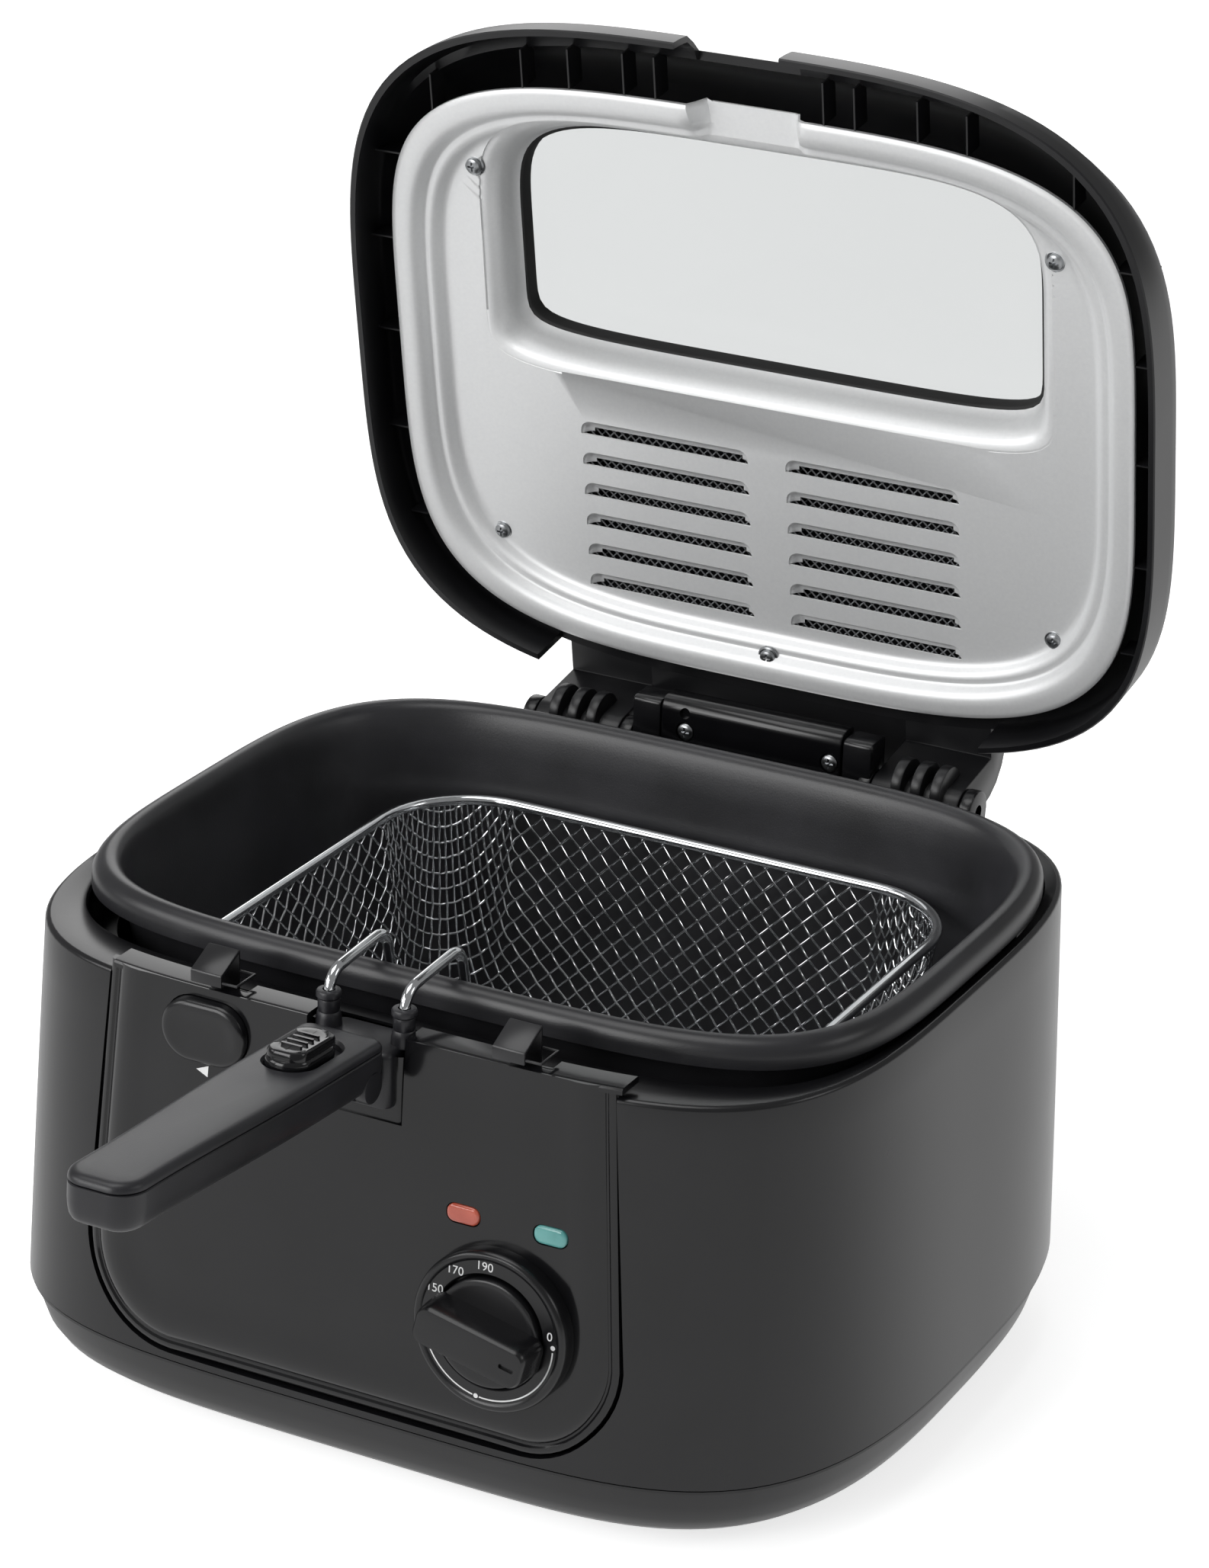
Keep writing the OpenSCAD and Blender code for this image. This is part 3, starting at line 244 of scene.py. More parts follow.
def dress(obj, slot, body, finish=None):
    """Gives a finished piece the material of its slot and the body it rides on."""
    obj.data.materials.clear()
    obj.data.materials.append(MATERIALS[finish or SLOT_FINISH.get(slot, slot)])
    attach(obj, body)
    return obj


# ---------------------------------------------------------------- outlines
def arc(u, v, r, start, end, steps):
    """Points along an arc round (u, v), from start to end in degrees."""
    turns = [math.radians(start + (end - start) * k / steps) for k in range(steps + 1)]
    return [(u + r * math.cos(a), v + r * math.sin(a)) for a in turns]


def circle(u, v, r, count):
    return arc(u, v, r, 0, 360, count)[:-1]


def rounded(w, h, r, u=0.0, v=0.0, steps=8):
    """Outline of a rounded rectangle centred on (u, v)."""
    points = []
    for cx, cy, turn in ((w / 2 - r, h / 2 - r, 0), (-w / 2 + r, h / 2 - r, 90),
                         (-w / 2 + r, -h / 2 + r, 180), (w / 2 - r, -h / 2 + r, 270)):
        points += arc(u + cx, v + cy, r, turn, turn + 90, steps)
    return points


def box(u0, u1, v0, v1):
    return [(u0, v0), (u1, v0), (u1, v1), (u0, v1)]


def mm(u, v, points):
    """Points given in millimetres from (u, v)."""
    return [(u + p / 1000, v + q / 1000) for p, q in points]


def spow(value, power):
    return math.copysign(abs(value) ** power, value)


def oval(a, front, rear, n, m_front, m_rear, y0, count=160):
    """Points round a squared oval, evenly spaced, from its right side anticlockwise."""
    dense = []
    for k in range(2400):
        t = 2 * math.pi * k / 2400
        m, b = (m_front, front) if math.sin(t) < 0 else (m_rear, rear)
        dense.append((a * spow(math.cos(t), 2 / n), y0 + b * spow(math.sin(t), 2 / m)))
    dense.append(dense[0])
    walked = [0.0]
    for p, q in zip(dense, dense[1:]):
        walked.append(walked[-1] + math.hypot(q[0] - p[0], q[1] - p[1]))
    points, i = [], 0
    for k in range(count):
        goal = walked[-1] * k / count
        while walked[i + 1] < goal:
            i += 1
        f = (goal - walked[i]) / max(walked[i + 1] - walked[i], 1e-12)
        points.append(tuple(p + f * (q - p) for p, q in zip(dense[i], dense[i + 1])))
    return points


def squared(u, a, n, b, m):
    """Half height of a squared oval at u along its a axis."""
    return b * (1 - min(abs(u) / a, 0.9999) ** n) ** (1 / m)


def ring(points, z):
    return [Vector((x, y, z)) for x, y in points]


def wall(z, g):
    """Half width, half depth, roundness and middle of the housing at height z, moved out by g."""
    s = (DECK_Z - z) / (DECK_Z - CREASE_Z)
    return ((0.2646 + s * 0.0166) / 2 + g, (0.2352 + s * 0.006) / 2 + g, 3.65 - 0.75 * s,
            -0.0074 - s * 0.0038)


def wall_at(z, g=0.0):
    a, b, m, y0 = wall(z, g)
    return ring(oval(a, b, b, 4.77, m, m, y0, 192), z)


def wall_y(x, z, g=0.0):
    """Y of the front wall at x and z."""
    a, b, m, y0 = wall(z, g)
    return y0 - squared(x, a, 4.77, b, m)


def well_at(z, g=0.0):
    """Opening in the deck round the pot."""
    return ring(oval(0.127 + g, 0.1035 + g, 0.1030 + g, 6.0, 3.6, 3.2, 0.0, 192), z)


def rim_at(z, off):
    """The pot, inset from its rim."""
    return ring(oval(0.129 - off, 0.0997 - off, 0.0984 - off, 4.7, 4.0, 3.5, 0.0, 192), z)


def lid_at(z, s, lean, g=0.0):
    """The lid: s insets the dome, and lean moves the front back."""
    return ring(oval(0.1337 - s + g, 0.1127 - lean - s + g, 0.1112 - s + g, 3.43, 3.63, 3.9,
                     -0.0070, 192), z)


def pane_at(z, g):
    """The window, grown by g."""
    b = 0.0361
    return ring(oval(0.084 + g, b + g, b - 0.0052 + g, 5.0, 4.4, 13.0, -0.0015 - b), z)


def pane_rings(rows):
    """Rings round the window, from (growth, height over the plate) in millimetres."""
    return [pane_at(PLATE_Z + z / 1000, g / 1000) for g, z in rows]


def plate_at(z, o):
    """The inner plate, inset by o."""
    a, b = PLATE_X - o, PLATE_Y - o
    return ring(oval(a, b, b, 3.75, 4.9, 3.95, 0.0, 420), z)


def panel_outline(g=0.0, top=DECK_Z + 0.001):
    """Outline of the front panel in X and Z, grown by g."""
    low, r, half = RIM_Z - 0.1145, 0.030, 0.0875
    side = arc(half - r, low + r, r + g, -90, 0, 14)
    # the sides lean in towards the top, and the top edge is split evenly
    side += [(half + g - 0.0075 * k / 14, low + r + k / 14 * (top - low - r)) for k in range(1, 15)]
    side += [((0.080 + g) * (1 - k / 12), top) for k in range(1, 12)]
    # the right edge stands a little nearer the middle than the left one
    return [(x - 0.0036 * min(max((x - 0.05) / 0.03, 0.0), 1.0), z)
            for x, z in side + [(-x, z) for x, z in reversed(side)]]


# ---------------------------------------------------------------- solids
def pick(*objects):
    """Selects the objects and makes the first one active."""
    bpy.ops.object.select_all(action="DESELECT")
    for obj in objects:
        obj.select_set(True)
    bpy.context.view_layer.objects.active = objects[0]
    return objects[0]


def named(obj, name):
    obj.name = obj.data.name = name
    return obj


def loft(name, rings, start_cap=False, end_cap=False, closed=False):
    """Extrudes a circle of edges through the rings, one ring at a time."""
    bpy.ops.object.select_all(action="DESELECT")
    bpy.ops.mesh.primitive_circle_add(vertices=len(rings[0]), radius=0.01)
    obj = named(bpy.context.active_object, name)
    bpy.ops.object.mode_set(mode="EDIT")
    mesh = bmesh.from_edit_mesh(obj.data)
    place = mesh.verts.layers.int.new("place")
    mesh.verts.ensure_lookup_table()
    for k, vert in enumerate(mesh.verts):
        vert[place] = k
        vert.co = rings[0][k]
        vert.select_set(True)
    mesh.select_flush(True)
    if start_cap:
        bpy.ops.mesh.edge_face_add()
        mesh = bmesh.from_edit_mesh(obj.data)
        for face in mesh.faces:
            face.select_set(False)
        for edge in mesh.edges:
            edge.select_set(True)
    for points in rings[1:]:
        bpy.ops.mesh.extrude_edges_move()
        mesh = bmesh.from_edit_mesh(obj.data)
        place = mesh.verts.layers.int["place"]
        for vert in mesh.verts:
            if vert.select:
                vert.co = points[vert[place]]
    if end_cap:
        bpy.ops.mesh.edge_face_add()
    if closed:
        bpy.ops.mesh.select_all(action="DESELECT")
        bpy.ops.mesh.select_non_manifold(extend=False, use_boundary=True, use_wire=False,
                                         use_multi_face=False, use_non_contiguous=False,
                                         use_verts=False)
        bpy.ops.mesh.bridge_edge_loops()
    bpy.ops.mesh.select_all(action="SELECT")
    bpy.ops.mesh.normals_make_consistent(inside=False)
    bpy.ops.object.mode_set(mode="OBJECT")
    return obj


def prism(name, outline, low, high, axis="Y"):
    """A closed outline of (u, v) points pushed along an axis from low to high."""
    def at(p, w):
        return Vector({"X": (w, p[0], p[1]), "Y": (p[0], w, p[1]), "Z": (p[0], p[1], w)}[axis])
    return loft(name, [[at(p, w) for p in outline] for w in (low, high)], True, True)


def stack(name, rows, u=0.0, v=0.0, z0=0.0, steps=8):
    """A solid through rounded rectangles of (width, depth, corner, height), in millimetres."""
    return loft(name, [ring(rounded(w / 1000, d / 1000, r / 1000, u, v, steps), z0 + z / 1000)
                       for w, d, r, z in rows], True, True)


def lathe(name, profile, u=0.0, v=0.0, z0=0.0, count=64, caps=True):
    """A turned piece from (radius, height) pairs in millimetres."""
    return loft(name, [ring(circle(u, v, r / 1000, count), z0 + z / 1000) for r, z in profile],
                caps, caps)


def sheet_of(name, rows):
    """A strip of faces through rows of equal numbers of points."""
    bpy.ops.object.select_all(action="DESELECT")
    nx = len(rows[0])
    bpy.ops.mesh.primitive_grid_add(x_subdivisions=nx - 1, y_subdivisions=len(rows) - 1, size=1)
    obj = named(bpy.context.active_object, name)
    for k, vert in enumerate(obj.data.vertices):
        vert.co = rows[k // nx][k % nx]
    obj.data.update()
    return obj


def tube(name, runs, radius, sides=1, cyclic=False, caps=True):
    """Wires of one radius swept along runs of points."""
    data = bpy.data.curves.new(name, "CURVE")
    data.dimensions = "3D"
    data.bevel_depth = radius
    data.bevel_resolution = sides
    data.use_fill_caps = caps
    for run in runs:
        spline = data.splines.new("POLY")
        spline.points.add(len(run) - 1)
        for point, co in zip(spline.points, run):
            point.co = (*co, 1.0)
        spline.use_cyclic_u = cyclic
    obj = bpy.data.objects.new(name, data)
    bpy.context.scene.collection.objects.link(obj)
    pick(obj)
    bpy.ops.object.convert(target="MESH")
    return named(bpy.context.active_object, name)


def modify(obj, kind, **settings):
    """Adds a modifier with its settings and applies it."""
    modifier = pick(obj).modifiers.new("step", kind)
    for key, value in settings.items():
        setattr(modifier, key, value)
    bpy.ops.object.modifier_apply(modifier=modifier.name)
    return obj


def bevel(obj, width):
    return modify(obj, "BEVEL", width=width, segments=2, limit_method="ANGLE")


def cut(obj, tool):
    modify(obj, "BOOLEAN", object=tool, operation="DIFFERENCE", solver="EXACT")
    bpy.data.objects.remove(tool, do_unlink=True)
    return obj


def cross_cut(head, size, low, high):
    """Cuts a screwdriver's cross into a screw head."""
    for w, d in ((size, 0.0006), (0.0006, size)):
        cut(head, prism("cross", rounded(w, d, 0.0001, steps=1), low, high, "Z"))
    return head


def catch_slot(obj, x):
    """Cuts the slot that a catch stands up through."""
    slot = rounded(0.0164, 0.009, 0.001, x + 0.0026, CATCH_Y, 3)
    return cut(obj, prism("catch_slot", slot, DECK_Z - 0.011, 0.2, "Z"))


def join(objects, name):
    pick(*objects)
    if len(objects) > 1:
        bpy.ops.object.join()
    return named(objects[0], name)


def move_mesh(obj, matrix):
    obj.data.transform(matrix)
    obj.data.update()
    return obj


def smooth(obj, angle):
    pick(obj)
    bpy.ops.object.shade_smooth_by_angle(angle=math.radians(angle))
    return obj


# ---------------------------------------------------------------- paths and places
def drawn(x, y, off=0.0):
    """Place on the basket of a point of the flat sheet, off outwards, and how far up it is."""
    qx = min(max(x, -(FLOOR_X - CORNER)), FLOOR_X - CORNER)
    qy = min(max(y, -(FLOOR_Y - CORNER)), FLOOR_Y - CORNER)
    dx, dy = x - qx, y - qy
    away = math.hypot(dx, dy)
    s = away - CORNER
    if away < 1e-9 or s <= 0:
        return Vector((x, y + BASKET_Y, BASKET_Z - MESH_DEPTH - off)), s
    if s < HEEL * math.pi / 2:
        a = s / HEEL
        out, up = (HEEL + off) * math.sin(a), HEEL - (HEEL + off) * math.cos(a)
    else:
        up = HEEL + s - HEEL * math.pi / 2
        out = HEEL + off + FLARE * (up - HEEL) / (MESH_DEPTH - HEEL)
    reach = (CORNER + out) / away
    return Vector((qx + dx * reach, qy + dy * reach + BASKET_Y, BASKET_Z - MESH_DEPTH + up)), s


def rounded_path(points, radius, steps=8):
    """Points of a bent wire: straight runs joined by arcs of that radius."""
    path = [Vector(points[0])]
    for a, b, c in zip(points, points[1:], points[2:]):
        a, b, c = Vector(a), Vector(b), Vector(c)
        u, v = (a - b).normalized(), (c - b).normalized()
        half = u.angle(v) / 2
        reach = min(radius / math.tan(half), (a - b).length * 0.49, (c - b).length * 0.49)
        r = reach * math.tan(half)
        centre = b + (u + v).normalized() * (r / math.sin(half))
        start, end = b + u * reach - centre, b + v * reach - centre
        for k in range(steps + 1):
            path.append(centre + (start * (1 - k / steps) + end * (k / steps)).normalized() * r)
    path.append(Vector(points[-1]))
    return path


def grip(inset):
    """Plan of the handle, inset: a long bar with a rounded tip."""
    half, front, back = 0.013 - inset, -0.118 + inset, 0.0065 - inset
    small, large = max(0.004 - inset, 0.0006), max(0.0085 - inset, 0.0006)
    points = []
    for side, y, r, turn in ((1, back, small, 0), (-1, back, small, 90),
                             (-1, front, large, 180), (1, front, large, 270)):
        points += arc(side * (half - r), y - r if turn < 180 else y + r, r, turn, turn + 90, 10)
        if turn in (90, 270):
            start, end = back - small, front + large
            if turn == 270:
                start, end = end, start
            points += [(side * half, start + (end - start) * k / 24) for k in range(1, 24)]
    return points


def on_panel(x, z, lift=0.0):
    """Local frame on the panel: +Z out of the panel, +Y up along it."""
    turn = Matrix.Rotation(math.pi / 2 - PANEL_TILT, 4, "X")
    return Matrix.Translation((x, wall_y(x, z), z)) @ turn @ Matrix.Translation((0, 0, lift))


# ---------------------------------------------------------------- settings
def colour_property(name, text, code):
    return bpy.props.FloatVectorProperty(name=name, description=text, subtype="COLOR", size=3,
                                         min=0.0, max=1.0, default=srgb(code)[:3])


def length_property(name, text, value):
    return bpy.props.FloatProperty(name=name, description=text, default=value, min=0.0001,
                                   unit="LENGTH", precision=5)


class FryerColours(bpy.types.PropertyGroup):
    """The colours that a user would change"""
    body_low: colour_property("Housing, dark", "Darkest tone of the housing's plastic", "#101012")
    body_high: colour_property("Housing, light", "Lightest tone of the housing's plastic", "#161618")
    handle_low: colour_property("Handle, dark", "Darkest tone of the handle's plastic", "#1C1C1F")
    handle_high: colour_property("Handle, light", "Lightest tone of the handle's plastic", "#28282C")
    plate_low: colour_property("Inner plate, dark", "Darkest tone of the lid's inner plate", "#E6E7E8")
    plate_high: colour_property("Inner plate, light", "Lightest tone of the lid's inner plate",
                                "#F0F1F1")
    glass: colour_property("Window", "Tint of each face of the window's pane", "#E2E3E3")
    red_lamp: colour_property("Power lamp", "Lightest tone of the power lamp's lens", "#E2735C")
    green_lamp: colour_property("Ready lamp", "Lightest tone of the ready lamp's lens", "#7CC4C0")


class FryerSizes(bpy.types.PropertyGroup):
    """The sizes that a user would change, beside those that come from the solids"""
    mesh_pitch: length_property("Basket mesh", "Distance between the basket's woven wires", 0.0050)
    mesh_wire: length_property("Basket wire", "Radius of the basket's woven wires", 0.00038)
    rim_wire: length_property("Rim wire", "Radius of the basket's rim wire", 0.0017)
    filter_pitch: length_property("Filter mesh", "Distance between the filter's wires", 0.0021)
    rib: length_property("Skirt ribs", "Half the thickness of the ribs in the lid's skirt", 0.00028)
    figures: length_property("Dial figures", "Height of the dial's printed numbers", 0.0036)


# ---------------------------------------------------------------- operators
class FRYER_OT_housing(bpy.types.Operator):
    """Adds the moulded housing with its deck, well and crease"""
    bl_idname = "fryer.housing"
    bl_label = "Housing"

    def execute(self, context):
        low = DECK_Z - 0.0022
        rings = [wall_at(CREASE_Z, -0.0026), wall_at(CREASE_Z, -0.0006)]
        rings += [wall_at(CREASE_Z + 0.0006 + (low - CREASE_Z) * k / 9) for k in range(9)]
        rings += [wall_at(DECK_Z - 0.0014 + 0.0014 * math.sin(a), -0.0014 * (1 - math.cos(a)))
                  for a in (0, 0.4, 0.8, 1.2, math.pi / 2)]
        rings += [well_at(low + 0.0006, 0.0012), well_at(low + 0.0003, 0.0005),
                  well_at(low - 0.0006), well_at(low - 0.012), rim_at(low - 0.0125, 0.006),
                  rim_at(low - 0.0145, 0.006), well_at(low - 0.0145, 0.001),
                  well_at(low - 0.0030, 0.0022), wall_at(low - 0.0008, -0.0046),
                  wall_at(low - 0.0028, -0.0028)]
        shell = loft("housing_shell", rings, closed=True)
        cut(shell, prism("panel_seat", panel_outline(0.0009, DECK_Z + 0.01), -0.2, -0.119))
        cut(shell, prism("bracket_relief", box(-RECESS_X, RECESS_X, RECESS_Z, 0.2), -0.2, -0.1105))
        for x in (-CATCH_X, CATCH_X):
            catch_slot(shell, x)
        dress(smooth(shell, 32), "body_plastic", "base")

        outline = rounded(2 * RECESS_X, 0.016, 0.002, 0, -0.1185, 4)
        lining = loft("bracket_recess", [ring(outline, z) for z in (DECK_Z - 0.002, RECESS_Z)],
                      end_cap=True)
        dress(smooth(lining, 32), "body_plastic", "base")
        dress(self.carrier(), "body_plastic", "base")
        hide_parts("housing")

        # (step out from the wall, height) in millimetres, from the crease down to the feet
        steps = ((0, 24), (0, 23.2), (-1.2, 22.4), (-2.2, 17.5), (-3.6, 12.5), (-5.8, 8.8),
                 (-8.8, 6.2), (-11.8, 4.8), (-15, 4.4), (-30, 4.4))
        tray = loft("base_plinth", [
            ring([p.xy for p in wall_at(CREASE_Z, g / 1000 - 0.0004)], z / 1000)
            for g, z in steps], end_cap=True)
        dress(smooth(tray, 40), "base_plastic", "base")
        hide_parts("base_tray")
        self.cover()
        self.catches()
        return {"FINISHED"}

    def carrier(self):
        """The rear carrier with the ears that hold the hinge pins."""
        y, z = HINGE.y, HINGE.z
        ear = arc(y, z, 0.007, 0, 180, 15)
        ear += mm(y, z, ((-12, -10), (-12, -30), (1, -30), (5.5, -12)))
        parts = [prism("ear", ear, x, x + 0.0042, "X")
                 for x in (-0.0782, -0.0437, 0.0395, 0.0740)]
        block = rounded(0.1564, 0.013, 0.003, 0, y - 0.0065, 4)
        parts.append(prism("block", block, z - 0.038, z - 0.018, "Z"))
        cheek = mm(0.1135, DECK_Z, ((0, -10), (0, 11.8), (1.5, 12.8), (10, 12.8), (11, 11.8),
                                    (11, -10)))
        parts += [prism("cheek", cheek, x, x + 0.0098, "X") for x in (-0.0394, 0.0336)]
        for obj in parts:
            bevel(obj, 0.0008)
        return smooth(join(parts, "hinge_carrier"), 30)

    def cover(self):
        """The hinge cover with its rolled top, its two screws and one spare hole."""
        y, top, foot, r = 0.113, RIM_Z + 0.0100, HINGE.z - 0.004, 0.0042
        side = [(y, foot)] + arc(y + r, top - r, r, 180, 90, 9)
        side += mm(y, top, ((9.5, -0.3), (10, -3))) + [(y + 0.0100, foot)]
        cover = bevel(prism("hinge_shield", side, -0.029, 0.0333, "X"), 0.0006)
        screw_x, screw_z = (-0.0205, 0.0295), RIM_Z - 0.0003
        holes = [circle(x, screw_z, 0.0032, 32) for x in screw_x]
        for hole in holes + [circle(-0.0207, RIM_Z + 0.0058, 0.0018, 32)]:
            cut(cover, prism("hole", hole, y - 0.002, y + 0.0012))
        dress(smooth(cover, 32), "hinge_plastic", "base")
        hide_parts("hinge_cover")

        parts = []
        for x in screw_x:
            head = lathe("head", ((2.7, -1.2), (2.7, -0.2), (2.4, 0.2), (1.6, 0.5), (0.5, 0.6)),
                         count=32)
            cross_cut(head, 0.0032, -0.0002, 0.003)
            parts.append(move_mesh(head, Matrix.Translation((x, y, screw_z))
                                   @ Matrix.Rotation(math.pi / 2, 4, "X")))
        screws = join(parts, "shield_screws")
        dress(smooth(screws, 35), "screw_steel", "base")
        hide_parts("hinge_cover_screws")

    def catches(self):
        """Two folded catches that stand up through the deck in front of the rim."""
        y, parts = CATCH_Y, []
        side = mm(y, RIM_Z, ((0, -6), (0.8, -6), (0.8, 8), (0.2, 8.5), (-9, 4.3), (-9.4, 3.8),
                             (-9.4, 0.4), (-8.6, 0.4), (-8.6, 3.4), (0, 7.2)))
        loop = ((5, 0.8), (10.2, 0.8), (10.2, -9.4), (5, -9.4), (5, -8.6), (9.4, -8.6), (9.4, 0),
                (5, 0))
        for x in (-CATCH_X, CATCH_X):
            parts.append(prism("fold", side, x - 0.005, x + 0.005, "X"))
            parts.append(prism("loop", mm(x, y, loop), RIM_Z + 0.0016, RIM_Z + 0.0024, "Z"))
        for obj in parts:
            bevel(obj, 0.00035)
        bar = rounded(0.0016, 0.0070, 0.0003, y + 0.0008, RIM_Z - 0.0205, 2)
        parts.append(prism("bar", bar, -0.0555, 0.0555, "X"))
        for x in (-CATCH_X, CATCH_X):
            stem = rounded(0.010, 0.0012, 0.0003, x, y + 0.0007, 2)
            parts.append(prism("stem", stem, RIM_Z - 0.018, RIM_Z - 0.0055, "Z"))
        latch = join(parts, "catch_bar")
        dress(smooth(latch, 32), "latch_steel", "latch")
        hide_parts("latch_bar")


class FRYER_OT_front_panel(bpy.types.Operator):
    """Adds the gloss front panel with its rolled edge and its ledge"""
    bl_idname = "fryer.front_panel"
    bl_label = "Front panel"

    def execute(self, context):
        # (inset of the outline, height over the wall) in mm: groove wall, rolled edge, dish, face
        profile = ((0, -2.6), (0, -1.2), (0.4, -0.4), (1.2, 0), (2.2, 0), (2.8, -0.6), (3.4, -0.6),
                   (4.2, 0.3), (6, 1.1), (8.5, 1.5), (11.5, 1.5), (14.5, 1.1), (17.5, 0.9),
                   (21, 0.8))
        rings = [[Vector((x, -lift / 1000, z)) for x, z in panel_outline(-inset / 1000, 0.165)]
                 for inset, lift in profile]
        rings += [[Vector((x * f, -0.0008, 0.09 + (z - 0.09) * f))
                   for x, z in panel_outline(-0.021, 0.165)]
                  for f in [1 - k / 14 for k in range(1, 14)]]
        panel = loft("front_panel_skin", rings, True, True)
        cut(panel, prism("above", box(-0.1, 0.1, DECK_Z + 0.0033, 0.2), -0.02, 0.02))
        holes = [box(-RECESS_X, RECESS_X, RECESS_Z, 0.16),
                 rounded(0.0278, 0.0193, 0.0096, BUTTON_X, BUTTON_Z)]
        holes += [rounded(0.0107, 0.0060, 0.0028, x, LAMP_Z) for x in LAMP_X]
        for hole in holes:
            cut(panel, prism("hole", hole, -0.03, 0.03))
        for vert in panel.data.vertices:
            vert.co.y += wall_y(vert.co.x, vert.co.z)
        ledges = [self.ledge(-0.080, -0.0156), self.ledge(0.0156, 0.080)]
        panel = join([panel] + ledges, "front_panel_skin")
        dress(smooth(panel, 30), "panel_plastic", "base")
        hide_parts("front_panel")
        self.arrow()
        return {"FINISHED"}

    def ledge(self, x0, x1):
        """The panel's top edge, rolled back over the deck, with the slot for its catch."""
        side = ((0.6, -2), (0.6, -0.8), (0.2, -0.2), (-0.8, 0), (-8.3, 0), (-8.8, -0.3), (-9, -1),
                (-9, -2))
        rows = []
        for k in range(41):
            x = x0 + (x1 - x0) * k / 40
            y, z = wall_y(x, DECK_Z), DECK_Z + 0.0035
            rows.append([Vector((x, y - w / 1000, z + h / 1000)) for w, h in side])
        return catch_slot(loft("ledge", rows, True, True), math.copysign(CATCH_X, x0))

    def arrow(self):
        """White printed pointer under the release button."""
        corners = mm(-0.0478, RIM_Z - 0.0253, ((-2.6, -0.3), (1.2, -2), (1.4, 1.4)))
        tip, low, high = [Vector((x, wall_y(x, z, 0.0008) - 0.00012, z)) for x, z in corners]
        arrow = sheet_of("release_pointer", [[tip, low], [tip, high]])
        dress(arrow, "panel_plastic", "base", "white_print")


class FRYER_OT_pot(bpy.types.Operator):
    """Adds the oil pot with its rolled rim"""
    bl_idname = "fryer.pot"
    bl_label = "Oil pot"

    def execute(self, context):
        wall, r, depth = 0.0016, 0.016, 0.106
        low = RIM_Z - depth

        def inset(d):
            return 0.0086 + 0.012 * d / 0.092
        side = inset(depth - r)
        rings = [rim_at(low, side + r + k) for k in (0.05, 0.03, 0.008)]
        rings += [rim_at(z, off) for off, z in arc(side - wall + r, low + r, r, 270, 180, 9)]
        rings += [rim_at(RIM_Z - d, inset(d) - wall) for d in (0.07, 0.05, 0.03, 0.012, 0.003)]
        roll = ((7, 0.8), (6, 2.2), (4.5, 2.8), (2.8, 2.2), (1.6, 0.8), (1.2, -1), (1.2, -3.6),
                (0.6, -4), (0, -3.6), (0, -0.8), (0.2, 0.8), (0.8, 2.2), (1.7, 3.4), (2.9, 4.1),
                (4.2, 4.4), (5.5, 4.1), (6.6, 3.3), (7.4, 2), (8, 0.2))
        rings += [rim_at(z, off) for off, z in mm(0, RIM_Z, roll)]
        rings += [rim_at(RIM_Z - d, inset(d)) for d in (0.003, 0.010, 0.03, 0.05, 0.07)]
        rings += [rim_at(z, off) for off, z in arc(side + r, low + r, r - wall, 180, 270, 9)]
        rings += [rim_at(low + wall, side + r + k) for k in (0.008, 0.03, 0.05)]
        pot = loft("oil_pot_liner", rings, True, True)
        dress(smooth(pot, 50), "pot_coating", "base")
        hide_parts("oil_pot")
        return {"FINISHED"}


